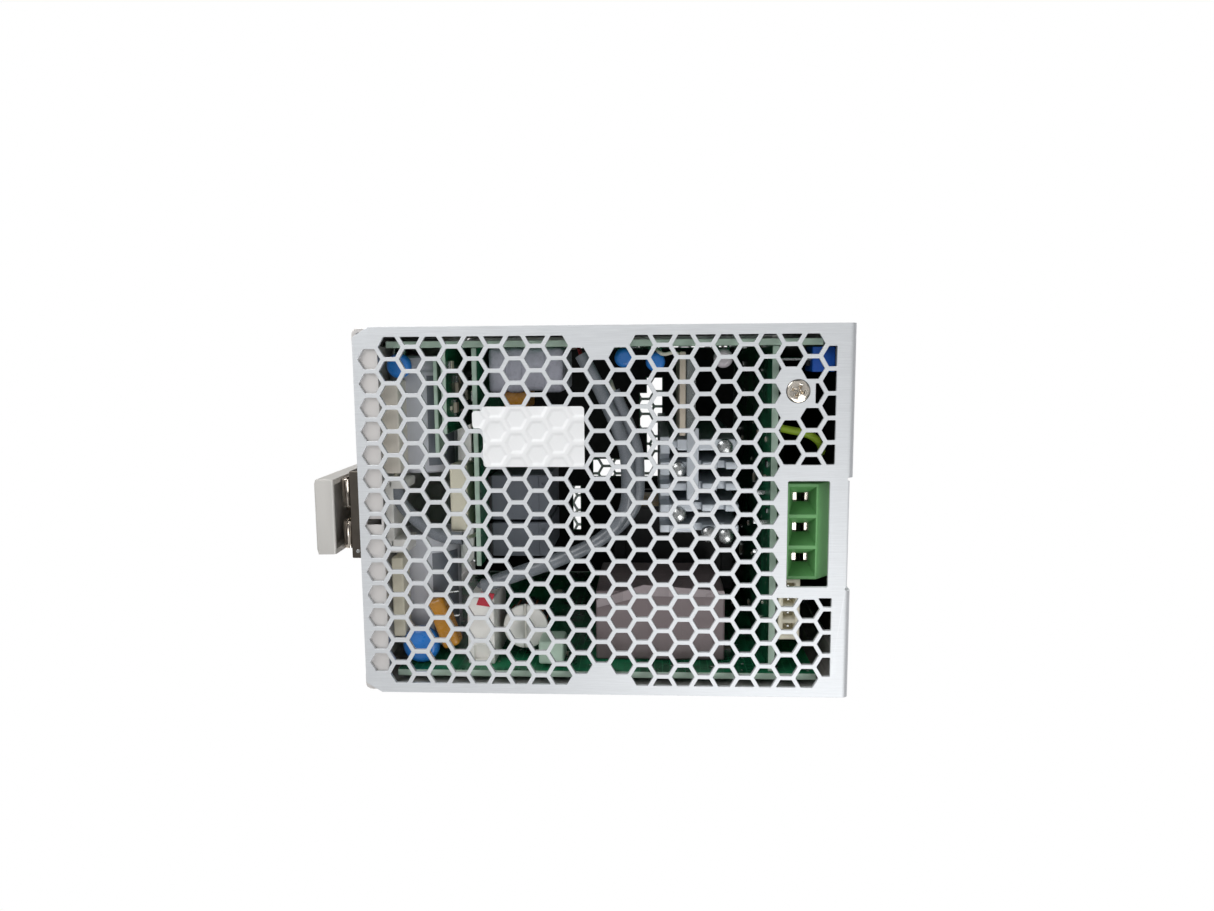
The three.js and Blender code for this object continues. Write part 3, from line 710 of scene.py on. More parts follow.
def fold_sheet(bm, side):
    """Bends a flat sheet round the front edge of the top (1) or bottom (-1) of the housing."""
    steps = 6
    cuts = [BEND_START + (BEND_END - BEND_START) * i / steps for i in range(steps + 1)]
    for s in [BEND_START - 0.3] + cuts + [BEND_END + 0.3]:
        geometry = bm.verts[:] + bm.edges[:] + bm.faces[:]
        bmesh.ops.bisect_plane(bm, geom=geometry, plane_co=(0, s, 0), plane_no=(0, 1, 0), dist=1e-5)
    for vert in bm.verts:
        x, s, level = vert.co
        depth = SHEET / 2 - level
        if s <= BEND_START:
            y, z = REAR_Y - s, HALF_HEIGHT - depth
        elif s < BEND_END:
            angle = (s - BEND_START) / BEND_RADIUS
            y = REAR_Y - BEND_START - (BEND_RADIUS - depth) * math.sin(angle)
            z = HALF_HEIGHT - BEND_RADIUS + (BEND_RADIUS - depth) * math.cos(angle)
        else:
            y, z = FRONT_Y + depth, HALF_HEIGHT - BEND_RADIUS - (s - BEND_END)
        vert.co = (x, y, side * z)


def plug_opening(x0, x1):
    """The opening in the front return, with small relief nicks at the corners of the strip."""
    low, high = STRIP_EDGE, BEND_END + HALF_HEIGHT - BEND_RADIUS - RETURN_EDGE_Z - 3
    a, b = x0 - 0.8, x1 + 0.8
    return [(a, low - 0.5), (a + 0.7, low - 0.5), (a + 0.7, low), (b - 0.7, low), (b - 0.7, low - 0.5),
            (b, low - 0.5), (b, high), (a, high)]


def make_cover(name, side, plugs, front_holes):
    """One perforated cover with its front return; the plugs give its windows."""
    rear_s, chamfer_s, chamfer_x = 0.5, 4.5, 2.4
    half = [(HALF_WIDTH - chamfer_x, rear_s), (HALF_WIDTH, chamfer_s), (HALF_WIDTH, SHEET_END)]
    outline = filleted([(-half[0][0], rear_s)] + half + [(-x, s) for x, s in half[:0:-1]], 0.9)
    loops = [outline] + mesh_holes(plugs["band"])
    for x0, x1 in plugs["windows"]:
        loops.append(filleted(rectangle(x0, x1, WINDOW_REAR, WINDOW_FRONT), 0.5))
        loops.append(filleted(plug_opening(x0, x1), 0.25))
    loops.append(circle(COVER_SCREW[0], REAR_Y - COVER_SCREW[1], 2.8))
    loops += front_holes
    bm = flat_sheet(loops, SHEET, SHEET_BEVEL)
    fold_sheet(bm, side)
    cover = finish_mesh(name + "_sheet", bm, smooth_angle=16)
    return put(cover, "cover", slot="cover_sheet", replaces=name)


trimmer_hole = circle(TRIMMER_X, BEND_END + HALF_HEIGHT - BEND_RADIUS + TRIMMER_Z, 2.2)
make_cover("bottom_cover", -1, BOTTOM_PLUGS, [trimmer_hole])
make_cover("top_cover", 1, TOP_PLUGS, [])


def cover_screw(name, side):
    """A countersunk cross-recess screw, flush with the cover."""
    x, y = COVER_SCREW
    face = HALF_HEIGHT
    profile = [(0, face - 7.0), (0.9, face - 7.0), (1.5, face - 6.2), (1.5, face - 1.4), (2.5, face - 0.35),
               (2.68, face - 0.12), (2.62, face + 0.02), (2.1, face + 0.12), (1.2, face + 0.2),
               (0, face + 0.24)]
    profile = [(r, side * h) for r, h in profile]
    screw = lathe(name + "_head", profile, 2, (x, y, 0))
    slots = []
    for turn in (20, 110):
        slot = frustum_bm(((-1.75, 1.75), (-0.42, 0.42), side * (face + 0.5)),
                          ((-0.9, 0.9), (-0.22, 0.22), side * (face - 1.3)))
        slots.append(placed(slot, turn, "Z", (x, y, 0)))
    carve(screw, slots)
    soften(screw, 0.06, 1, 40)
    return put(screw, "nickel", slot="nickel", replaces=name)


cover_screw("cover_screw_bottom", -1)
cover_screw("cover_screw_top", 1)


def hole_distance(x, y):
    """How far a point of the mesh lies inside its nearest hole, in millimetres; negative on the bars."""
    s = REAR_Y - y
    best = -1.0
    column = round((s - FIRST_COLUMN) / COLUMN_PITCH)
    for k in (column - 1, column, column + 1):
        odd = 1 - k % 2
        row = 2 * round((x / (MESH_PITCH / 2) - odd) / 2) + odd
        dx, ds = abs(x - row * MESH_PITCH / 2), abs(s - FIRST_COLUMN - k * COLUMN_PITCH)
        apothem = (MESH_PITCH - MESH_BAR) / 2
        inside = apothem - max(dx, dx / 2 + ds * math.sqrt(3) / 2)
        best = max(best, inside)
    return best


def make_label():
    """A blank film sticker that sags a little into the holes under it."""
    (x0, y0), (x1, y1), tab = (-26.0, -61.6), (-11.5, -37.3), (-25.0, -20.8, -34.8)
    step, face = 0.18, -HALF_HEIGHT - 0.03
    columns, rows = round((x1 - x0) / step) + 1, round((tab[2] - y0) / step) + 1
    bm = bmesh.new()

    def vert(i, j, level):
        x, y = x0 + i * step, y0 + j * step
        sag = 0.3 * min(1.0, max(0.0, hole_distance(x, y) + 0.1) / 0.6)
        return bm.verts.new((x, y, level + sag))

    grids = [[[vert(i, j, level) for i in range(columns)] for j in range(rows)]
             for level in (face - 0.13, face)]
    for grid in grids:
        for j in range(rows - 1):
            for i in range(columns - 1):
                bm.faces.new((grid[j][i], grid[j][i + 1], grid[j + 1][i + 1], grid[j + 1][i]))
    rim = [(0, i) for i in range(columns)] + [(j, columns - 1) for j in range(1, rows)]
    rim += [(rows - 1, i) for i in range(columns - 2, -1, -1)] + [(j, 0) for j in range(rows - 2, 0, -1)]
    for (j, i), (q, p) in zip(rim, rim[1:] + rim[:1]):
        bm.faces.new((grids[0][j][i], grids[0][q][p], grids[1][q][p], grids[1][j][i]))
    label = finish_mesh("blank_sticker", bm, smooth_angle=60)
    outline = filleted([(x0, y0), (x1, y0), (x1, y1), (tab[1], y1), (tab[1], tab[2]), (tab[0], tab[2]),
                        (tab[0], y1), (x0, y1)], 0.9, 5)
    combine(label, prism_bm(outline, 2, face - 1, face + 1), "INTERSECT")
    return put(label, "label", slot="label_film", replaces="blank_label")


make_label()

# ---- Chassis and fascia ----------------------------------------------------------------


def strip_outline(path, thickness, radius, steps=5):
    """The closed outline of a bent strip: the path is its outer side, and the strip lies to its left."""
    outer = filleted_path(path, radius, steps)
    inner = filleted_path(offset_path(path, thickness), max(0.05, radius - thickness), steps)
    return outer + inner[::-1]


def offset_path(path, distance):
    """An open path moved to its left."""
    moved = []
    for i, here in enumerate(path):
        here = Vector(here)
        normals = []
        if i > 0:
            d = (here - Vector(path[i - 1])).normalized()
            normals.append(Vector((-d.y, d.x)))
        if i < len(path) - 1:
            d = (Vector(path[i + 1]) - here).normalized()
            normals.append(Vector((-d.y, d.x)))
        middle = sum(normals, Vector((0, 0))).normalized()
        moved.append(tuple(here + middle * distance / middle.dot(normals[0])))
    return moved


def filleted_path(path, radius, steps):
    """An open path with rounded corners."""
    points = [path[0]]
    for before, here, after in zip(path, path[1:], path[2:]):
        before, here, after = Vector(before), Vector(here), Vector(after)
        back, ahead = (before - here).normalized(), (after - here).normalized()
        reach = radius * math.tan((math.pi - back.angle(ahead)) / 2)
        first, last = here + back * reach, here + ahead * reach
        points += corner_curve(first, here, last, steps)
    return points + [path[-1]]


CHASSIS_X, CHASSIS_Z = 44.8, 63.8
WALL, CHASSIS_FRONT, LIP_END = 1.2, -123.8, 61.35
# A small notch in the rear lip, as X and Y limits.
NOTCH_X, NOTCH_Y = (1.4, 2.9), (-11.6, -7.9)


def make_chassis():
    """The bent sheet that holds everything: rear wall, sides and narrow flanges behind the covers."""
    flange_x = CHASSIS_X - 9
    path = [(flange_x, CHASSIS_FRONT), (CHASSIS_X, CHASSIS_FRONT), (CHASSIS_X, REAR_Y), (-CHASSIS_X, REAR_Y),
            (-CHASSIS_X, CHASSIS_FRONT), (-flange_x, CHASSIS_FRONT)]
    outline = strip_outline(path, WALL, 1.8)
    shell = prism("chassis_shell", outline, 2, -CHASSIS_Z, CHASSIS_Z, 0.15, 1)
    tools = []
    for side in (-1, 1):
        low, high = sorted((side * 61.3, side * 65))
        tools.append(box_bm((4 - CHASSIS_X, REAR_Y - 3, low), (CHASSIS_X - 4, REAR_Y + 1, high)))
        tools.append(box_bm((-CHASSIS_X + 1.5, CHASSIS_FRONT - 1, low),
                            (CHASSIS_X - 1.5, CHASSIS_FRONT + 2, high)))
    tools.append(peg_bm(3.2, -2, 3, 1, (TRIMMER_X, CHASSIS_FRONT, TRIMMER_Z)))
    carve(shell, tools)
    parts = [painted(shell, "chassis")]
    for side in (-1, 1):
        level = side * CHASSIS_Z
        # The strip lies to the left of its path, so the path's direction depends on the side.
        bend = [(REAR_Y - 6.2, level), (REAR_Y, level), (REAR_Y, side * LIP_END)][::-side]
        lip = strip_outline(bend, WALL, 1.7)
        lip = prism("lip", lip, 0, 4.1 - CHASSIS_X, CHASSIS_X - 4.1, 0.12, 1)
        if side < 0:
            carve(lip, [box_bm((NOTCH_X[0], NOTCH_Y[0], -66), (NOTCH_X[1], NOTCH_Y[1], -62))])
        parts.append(painted(lip, "chassis"))
        for x in (-31, 30):
            rivet = [(0, 0.75), (0.9, 0.68), (1.7, 0.4), (2.1, 0.05), (2.1, -1.8), (0, -1.8)]
            parts.append(turned("nickel", rivet, 1, (x, REAR_Y, side * 58)))
    assemble("chassis_with_rivets", parts, slot="chassis_sheet", replaces="chassis")


make_chassis()


LIGHTS = {"dc_ok": "lens_green", "boost": "lens_yellow"}


def make_fascia():
    """The plain front plate with its light-pipe holes, and a blank film between them and the plugs."""
    z = RETURN_EDGE_Z - 0.2
    plate = rounded_box("front_plate", (-HALF_WIDTH, FRONT_Y, -z), (HALF_WIDTH, FRONT_Y + SHEET, z), 0.25, 2)
    centres = [node_middle(name + "_light_pipe").xz for name in LIGHTS]
    carve(plate, [peg_bm(1.8, -2, 3, 1, (x, FRONT_Y, h)) for x, h in centres])
    put(soften(plate, 0.08, 1), "fascia", slot="cover_sheet", replaces="front_fascia")
    outline = filleted(rectangle(-22, 41, -31, 31), 2.0, 6)
    film = prism("blank_front_film", outline, 1, FRONT_Y - 0.16, FRONT_Y - 0.01, 0.04, 1)
    put(film, "film")
    for (name, lens), (x, h) in zip(LIGHTS.items(), centres):
        profile = [(0, -0.65), (0.7, -0.6), (1.25, -0.35), (1.5, 0.05), (1.5, 16.9), (0, 16.9)]
        pipe = lathe(name + "_light", profile, 1, (x, FRONT_Y, h))
        put(pipe, lens, slot=lens.replace("lens", "clear"), replaces=name + "_light_pipe")
        profile = [(1.95, -0.12), (2.5, -0.12), (2.6, -0.04), (2.6, -0.01), (1.95, -0.01), (1.95, -0.12)]
        put(lathe(name + "_light_ring", profile, 1, (x, FRONT_Y, h)), "mark")


make_fascia()


def make_insulating_shade_card():
    """Black insulating card behind the front plate, also painted shade, cut round the plugs, lights and
    trimmer.
    """
    back = FRONT_Y + 1.25
    card = finish_mesh("front_insulating_shade_card", box_bm((-35, back, -57), (35, back + 0.3, 57)))
    tools = []
    for name, (_, _, side) in TERMINALS.items():
        low, high = node_box(f"{name}_plug")
        z0, z1 = sorted((side * 41.5, side * 60))
        tools.append(box_bm((low.x - 0.6, back - 1, z0), (high.x + 0.6, back + 1, z1)))
    for name in LIGHTS:
        x, h = node_middle(name + "_light_pipe").xz
        tools.append(peg_bm(1.8, -1, 1, 1, (x, back, h), 24))
    tools.append(peg_bm(3.4, -1, 1, 1, (TRIMMER_X, back, TRIMMER_Z), 24))
    # Its black paints the shade inside the front.
    put(carve(card, tools), "insulating_shade_card")


make_insulating_shade_card()

# ---- Rail adapter ------------------------------------------------------------------------

RAIL_EDGE, LIP_SLOT, PLATE_Y, PIN_Z = 17.5, 1.3, -2.6, -46.0


def make_bracket():
    """The fixed half of the adapter: plate, rail seat and upper hook."""
    tip = LIP_SLOT + 2.2
    rear = REAR_Y + 0.02
    side = [(rear, -60), (PLATE_Y, -60), (PLATE_Y, -RAIL_EDGE - 1.5), (0, -RAIL_EDGE - 1.5),
            (0, RAIL_EDGE + 0.5), (LIP_SLOT, RAIL_EDGE + 0.5), (LIP_SLOT, RAIL_EDGE - 3.5),
            (tip, RAIL_EDGE - 3.5), (tip, RAIL_EDGE + 4),
            (PLATE_Y, RAIL_EDGE + 4), (PLATE_Y, 34), (rear, 34)]
    bracket = prism("rail_hook_plate", side, 0, ADAPTER_X - 11, ADAPTER_X + 11, 0.35, 3)
    screws = [(ADAPTER_X + dx, 29) for dx in (-7, 7)]
    tools = [box_bm((ADAPTER_X - 1.7, -7, PIN_Z - 7.2), (ADAPTER_X + 1.7, 0, PIN_Z + 1.7)),
             box_bm((ADAPTER_X - 3.5, -7, PIN_Z - 9.2), (ADAPTER_X + 3.5, -4.4, PIN_Z + 3.7))]
    dimple = [(0, -60.1), (0.45, -60.05), (0.6, -59.9), (0.6, -59), (0, -59)]
    put(lathe("adapter_plate_pin", dimple, 2, (ADAPTER_X + 9.2, -4.1, 0), 24), "solder")
    for level in (-12.2, 12.2):
        tools.append(box_bm((ADAPTER_X - 12, -0.3, level - 0.2), (ADAPTER_X + 12, 0.5, level + 0.2)))
    tools.append(peg_bm(0.9, -1, 5, 1, (ADAPTER_X + 8.6, REAR_Y, -56), 24))
    tools += [peg_bm(1.8, -1, 5, 1, (x, REAR_Y, z), 24) for x, z in screws]
    # The bracket's dark brown is painted shade.
    put(carve(bracket, tools), "dark_steel", slot="dark_steel", replaces="rail_bracket")
    for i, (x, z) in enumerate(screws):
        profile = [(0, -9), (1.4, -9), (1.5, -8.8), (1.5, -2.58), (2.95, -2.56), (3.0, -2.3), (2.75, -1.4),
                   (2.2, -0.9), (0, -0.78)]
        screw = lathe(f"adapter_screw_{i + 1}", profile, 1, (x, 0, z))
        carve(screw, [box_bm((x - 2.1, -1.6, z - 0.35), (x + 2.1, 0, z + 0.35))])
        put(screw, "nickel", slot="nickel", replaces=f"bracket_screw_{i + 1}")


def make_foot():
    """The sprung foot, its guide pin and the hairpin spring between the foot and the plate."""
    low, high = node_box("release_foot")
    inner, outer, bottom, top = low.y, high.y, low.z, high.z
    side = [(inner, bottom + 0.3), (inner + 0.3, bottom), (outer - 0.6, bottom), (outer, bottom + 0.6),
            (outer, -RAIL_EDGE + 1), (outer - 1.4, top), (LIP_SLOT, top), (LIP_SLOT, -RAIL_EDGE - 0.4),
            (inner, -RAIL_EDGE - 0.4)]
    foot = prism_bm(side, 0, low.x, high.x)
    upright = [e for e in foot.edges if abs((e.verts[0].co - e.verts[1].co).normalized().z) > 0.9
               and all(v.co.y > 2 for v in e.verts)]
    bmesh.ops.bevel(foot, geom=upright, offset=1.1, segments=1, affect="EDGES")
    foot = finish_mesh("sliding_foot", bevelled(foot, 0.22, 2))
    pocket = box_bm((ADAPTER_X - 8, inner - 1, bottom + 0.8), (ADAPTER_X + 8, inner + 2.6, -RAIL_EDGE - 4))
    slot = box_bm((ADAPTER_X - 4, outer - 2, bottom + 6), (ADAPTER_X + 4, outer + 1, bottom + 8))
    grip = [box_bm((low.x - 1, outer - 0.35, z), (high.x + 1, outer + 1, z + 0.7)) for z in (-52, -50, -48)]
    carve(foot, [pocket, slot] + grip)
    put(soften(foot, 0.08, 1), "cast", body="foot", slot="cast_aluminium", replaces="release_foot")
    head = [(0, 0.3), (2.9, 0.3), (3.0, 0.45), (3.0, 1.2), (2.85, 1.3), (1.4, 1.32)]
    profile = [(r, REAR_Y + y) for r, y in head] + [(1.4, inner + 2.5), (0, inner + 2.5)]
    pin = lathe("foot_pin", profile, 1, (ADAPTER_X, 0, PIN_Z))
    put(pin, "nickel", body="foot", slot="nickel", replaces="foot_guide_pin")

    rear, front, bend_z, top_z = PLATE_Y + 0.12, inner - 0.12, -57.0, -27.0
    radius = (front - rear) / 2
    turn = [math.pi + math.pi * i / 16 for i in range(17)]
    middle = (front + rear) / 2
    line = [(rear, z) for z in range(-27, -56, -2)]
    line += [(middle + radius * math.cos(a), bend_z + radius * math.sin(a)) for a in turn]
    line += [(front, z) for z in range(-55, -34, 2)]
    strip = line + offset_path(line, 0.42)[::-1]
    spring = prism("foot_leaf_spring", strip, 0, ADAPTER_X - 8.8, ADAPTER_X + 8.8, 0.07, 1)
    carve(spring, [box_bm((ADAPTER_X - 2, rear - 1, bend_z - radius - 1),
                          (ADAPTER_X + 2, front + 1, PIN_Z + 4))])
    painted(spring, "bright_steel")
    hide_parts("foot_spring")
    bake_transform(spring)


make_bracket()
make_foot()

# ---- Plug-in terminals -----------------------------------------------------------------------

PLUG_REAR, PLUG_FRONT, RIM_Z, BACK_Z, SHOULDER_Y, NOSE_Z = -109.5, -124.3, 61.5, 43.0, -117.5, 54.0
MOUTH_Y, ENTRY_Y = (-117.05, -110.6), (-116.2, -112.3)
# Height of the clamp screws, and half a cage's width and a screw's radius as shares of the pole pitch.
SCREW_Z, CAGE_SHARE, SCREW_SHARE = 51, 0.32, 0.25


def sided_box(side, low, high):
    """A box drawn for the top half, put on the top (1) or bottom (-1)."""
    z0, z1 = sorted((side * low[2], side * high[2]))
    return box_bm((low[0], low[1], z0), (high[0], high[1], z1))


def pole_positions(name):
    """The X of each pole of a plug."""
    poles, pitch, _ = TERMINALS[name]
    low, high = node_box(f"{name}_plug")
    middle = (low.x + high.x) / 2
    return [middle + (i - (poles - 1) / 2) * pitch for i in range(poles)]


def make_plug(name):
    """A pull-off plug with funnel wire entries, screw bores and a seam between poles."""
    _, pitch, side = TERMINALS[name]
    low, high = node_box(f"{name}_plug")
    outline = [(PLUG_FRONT, BACK_Z), (PLUG_REAR, BACK_Z), (PLUG_REAR, RIM_Z), (SHOULDER_Y, RIM_Z),
               (PLUG_FRONT, NOSE_Z)]
    plug = prism(f"{name}_plug_body", [(y, side * z) for y, z in outline], 0, low.x, high.x, 0.35, 3)
    cage = pitch * CAGE_SHARE
    tools = []
    for x in pole_positions(name):
        mouth = pitch / 2 - 0.4
        tools.append(frustum_bm(((x - mouth, x + mouth), MOUTH_Y, side * (RIM_Z + 0.02)),
                                ((x - 1.15, x + 1.15), ENTRY_Y, side * 56.2)))
        tools.append(sided_box(side, (x - 1.15, ENTRY_Y[0], 54), (x + 1.15, ENTRY_Y[1], 56.8)))
        tools.append(sided_box(side, (x - cage - 0.2, -119.4, 45), (x + cage + 0.2, -110.6, 55.2)))
        bore = pitch * SCREW_SHARE + 0.2
        hole = [(0, -1), (bore + 0.35, -1), (bore, 0.9), (bore, 5.3), (0, 5.3)]
        tools.append(lathe_bm(hole, 1, (x, PLUG_FRONT, side * SCREW_Z)))
        tools.append(sided_box(side, (x - 1.6, PLUG_FRONT - 1, 44.2), (x + 1.6, PLUG_FRONT + 0.5, 46.2)))
    for x in pole_positions(name)[:-1]:
        seam = x + pitch / 2
        tools.append(sided_box(side, (seam - 0.12, PLUG_FRONT - 1, 42),
                               (seam + 0.12, PLUG_FRONT + 0.3, 54.2)))
    carve(plug, tools)
    soften(plug, 0.12, 2, 30)
    put(plug, "green", body=f"{name}_plug", slot="green_plastic", replaces=f"{name}_plug")
    for i, x in enumerate(pole_positions(name)):
        make_clamp(name, i + 1, x, pitch, side)


def make_clamp(name, number, x, pitch, side):
    """A plated rising cage and its slotted screw."""
    half, radius = pitch * CAGE_SHARE, pitch * SCREW_SHARE
    z0, z1 = sorted((side * 46, side * 54.9))
    cage = rounded_box(f"{name}_cage_{number}", (x - half, -117.6, z0), (x + half, -110.8, z1), 0.45, 3)
    hole = sided_box(side, (x - half + 0.75, -115.55, 44), (x + half - 0.75, -111.6, 53.8))
    entry = sided_box(side, (x - half + 0.75, -115.4, 53), (x + half - 0.75, -113.35, 57))
    thread = peg_bm(radius + 0.12, -118, -115.2, 1, (x, 0, side * SCREW_Z), 32)
    carve(cage, [hole, entry, thread])
    soften(cage, 0.08, 1)
    node = f"{name}_clamp_cage_{number}"
    put(cage, "nickel", body=node, slot="nickel", replaces=node)
    profile = [(0, -117.2), (radius * 0.7, -117.2), (radius * 0.82, -117.5)]
    for groove in range(7):
        y = -117.7 - 0.5 * groove
        profile += [(radius * 0.98, y), (radius * 0.84, y - 0.25)]
    profile += [(radius * 0.84, -121.15), (radius - 0.05, -121.2), (radius, -121.3), (radius, -122.35),
                (radius - 0.25, -122.6), (0, -122.6)]
    z = side * SCREW_Z
    screw = lathe(f"{name}_screw_{number}", profile, 1, (x, 0, z), 40)
    carve(screw, [box_bm((x - 3, -123, z - 0.38), (x + 3, -121.75, z + 0.38))])
    soften(screw, 0.05, 1, 45)
    node = f"{name}_clamp_screw_{number}"
    put(screw, "bright_steel", body=node, slot="nickel", replaces=node)


def make_header(name):
    """The shroud that the plug sits in, with end walls, key ribs and contact pins."""
    side = TERMINALS[name][2]
    low, high = node_box(f"{name}_plug")
    inner = (low.x - 0.3, high.x + 0.3)
    board, seat, mouth = -108.0, PLUG_REAR + 0.3, -118.0
    under, floor, shelf = 41.0, BACK_Z - 0.3, 55.0
    shroud = [(board, under), (board, shelf), (seat, shelf), (seat, floor), (mouth, floor), (mouth, under)]
    parts = [prism("shroud", [(y, side * z) for y, z in shroud], 0, inner[0] - 1, inner[1] + 1, 0.2, 2)]
    for x0, x1 in ((inner[0] - 1, inner[0]), (inner[1], inner[1] + 1)):
        end = sided_box(side, (x0, mouth + 0.1, under + 0.1), (x1, board - 0.05, shelf - 2))
        parts.append(finish_mesh("end", bevelled(end, 0.2, 2)))
    for x in pole_positions(name):
        rib = sided_box(side, (x - 0.6, mouth + 0.4, under - 0.4), (x + 0.6, board - 0.2, under + 0.3))
        parts.append(finish_mesh("rib", bevelled(rib, 0.15, 1)))
    parts = [painted(p, "dark_green") for p in parts]
    assemble(f"{name}_socket", parts, slot="green_plastic", replaces=f"{name}_header")
    pins = []
    for x in pole_positions(name):
        pin = sided_box(side, (x - 0.5, board - 0.1, 48.5), (x + 0.5, board + 4.6, 49.5))
        pins.append(painted(finish_mesh("pin", bevelled(pin, 0.18, 2)), "solder"))
    assemble(f"{name}_socket_pins", pins)


for terminal in TERMINALS:
    make_plug(terminal)
    make_header(terminal)


def make_trimmer():
    """The trimmer block, its dial, and a generic scale with minus and plus signs."""
    high = node_box("voltage_trimmer")[1]
    x, z = TRIMMER_X, TRIMMER_Z
    collar = [(0, 0), (2.05, 0), (2.05, 0.35), (1.95, 0.5), (0, 0.5)]
    parts = [block("blue", (x - 3.05, -121.7, z - 5), (x + 3.05, -116.2, z + 5), 0.35),
             turned("blue", collar, 1, (x, -122.2, z), 40),
             block("black", (x - 1.6, -116.25, z - 2.4), (x + 1.6, -115.2, z + 2.4), 0.2, 2)]
    for lead in (z - 2.54, z, z + 2.54):
        parts.append(block("solder", (x - 0.3, -116.3, lead - 0.2), (x + 0.3, high.y, lead + 0.2), 0.08, 1))
    assemble("trimmer_housing", parts, slot="blue_plastic", replaces="voltage_trimmer")
    profile = [(0, -121.8), (1.8, -121.8), (1.85, -121.9), (1.85, -123.1), (1.7, -123.35), (0, -123.4)]
    rotor = lathe("trimmer_dial", profile, 1, (x, 0, z), 40)
    slots = [box_bm((x - a, -124, z - b), (x + a, -122.8, z + b)) for a, b in ((1.3, 0.28), (0.28, 1.3))]
    put(soften(carve(rotor, slots), 0.05, 1, 45), "white", body="trimmer_rotor", slot="white_plastic",
        replaces="trimmer_rotor")
    ticks = []
    for i in range(9):
        angle = -45 + 270 * i / 8
        tick = box_bm((3.0, FRONT_Y - 0.05, -0.12), (3.9 if i % 4 else 4.4, FRONT_Y + 0.05, 0.12))
        ticks.append(painted(finish_mesh("tick", placed(tick, -angle, "Y", (x, 0, z))), "mark"))
    for dx, half_x, half_z in ((-3.705, 0.75, 0.14), (3.705, 0.75, 0.14), (3.705, 0.14, 0.75)):
        bar = box_bm((x + dx - half_x, FRONT_Y - 0.05, z - 4.4 - half_z),
                     (x + dx + half_x, FRONT_Y + 0.05, z - 4.4 + half_z))
        ticks.append(painted(finish_mesh("sign", bar), "mark"))
    assemble("trimmer_scale", ticks)


make_trimmer()

# ---- Circuit boards ----------------------------------------------------------------------------

rng = random.Random(7)
CHIP_SIZES = [(1.6, 0.8, 0.5), (2.0, 1.25, 0.6), (3.2, 1.6, 0.6), (4.2, 2.4, 0.9), (1.0, 0.5, 0.4)]


def make_board(node, axis, side):
    """A lacquered board with small surface parts on one side (-1 or 1 along the axis)."""
    low, high = node_box(node)
    panel = rounded_box(f"{node}_panel", low, high, 0.12, 1)
    lacquer = "mask_x" if axis == 0 else "mask_y"
    put(show_edges(panel, axis, lacquer), None, slot="board_green", replaces=node)
    parts = []
    others = [i for i in range(3) if i != axis]
    face = high[axis] if side > 0 else low[axis]
    for _ in range(34):
        size = rng.choice(CHIP_SIZES)
        centre = [rng.uniform(low[i] + 4, high[i] - 4) for i in others]
        if rng.random() < 0.5:
            size = (size[1], size[0], size[2])
        kind = rng.choice(["black", "beige", "beige", "cream"])
        long_way = 0 if size[0] > size[1] else 1
        # The body covers the middle of the length, and the two solder ends run under it.
        for length, width, height, material in ((0.62, 1.0, 1.0, kind), (1.0, 0.9, 0.85, "solder")):
            a, b = [0, 0, 0], [0, 0, 0]
            for k, i in enumerate(others):
                half = size[k] / 2 * (length if k == long_way else width)
                a[i], b[i] = centre[k] - half, centre[k] + half
            a[axis], b[axis] = sorted((face, face + side * size[2] * height))
            parts.append(block(material, a, b, 0.08, 1))
    assemble(f"{node}_chips", parts)


for board_node, across, busy_side in (("main_board", 0, -1), ("side_board", 0, 1), ("front_board", 1, 1),
                                      ("rear_cross_board", 1, -1), ("relay_cross_board", 1, 1)):
    make_board(board_node, across, busy_side)

# ---- What stands on the boards ---------------------------------------------------------------------


def leads(name, ends, radius):
    """Straight tinned leads, one for each list of points."""
    assemble(name, [painted(tube("lead", points, radius, smooth=False), "solder") for points in ends])


def make_boxed_choke():
    """A flat wound block in mauve tape, with a thin lighter flap over its near end as a painted highlight."""
    low, high = node_box("boxed_choke")
    parts = [block("mauve", (low.x + 0.2, low.y + 0.2, low.z + 0.3), (high.x, high.y - 0.2, high.z), 0.8, 4),
             block("mauve", (low.x, low.y + 3, low.z), (high.x - 0.4, high.y - 4, low.z + 6), 0.6),
             block("mauve", (low.x - 0.02, low.y + 11, low.z - 0.05),
                   (high.x - 0.3, low.y + 20, low.z + 9), 0.5)]
    # A thin flap in the lighter copy of the tape: a painted highlight along the choke's near end.
    highlight_flap = [(24.4, -63.4), (20.4, -75.5), (21.9, -95.9), (23.6, -96.2), (23.4, -75.5), (26.5, -63.4)]
    parts.append(painted(prism("highlight_flap", highlight_flap, 2, -53.5, -52.9, 0.15, 2), "mauve_highlight"))
    assemble("taped_choke", parts, slot="mauve_tape", replaces="boxed_choke")
    pins = [[(high.x - 3, y, low.z + 4), (high.x + 0.6, y, low.z + 4)] for y in (low.y + 4, high.y - 4)]
    leads("choke_leads", pins, 0.5)


def make_output_transformer():
    """A ferrite core round a taped winding, with a bobbin flange at each end."""
    low, high = node_box("output_transformer")
    middle = (low + high) / 2
    parts = [block("yellow_tape", (low.x + 0.5, low.y + 5, low.z + 3.2),
                   (high.x - 1, high.y - 5, high.z - 3.2), 2.5, 4)]
    for z0, z1 in ((low.z, low.z + 3), (high.z - 3, high.z)):
        parts.append(block("black", (low.x, low.y + 3.5, z0), (high.x, high.y - 3.5, z1), 0.6))
    for y0, y1 in ((low.y, low.y + 4.8), (high.y - 4.8, high.y)):
        parts.append(block("ferrite", (middle.x - 9, y0, low.z + 1), (middle.x + 9, y1, high.z - 1), 0.6))
    assemble("power_transformer", parts, slot="yellow_tape", replaces="output_transformer")


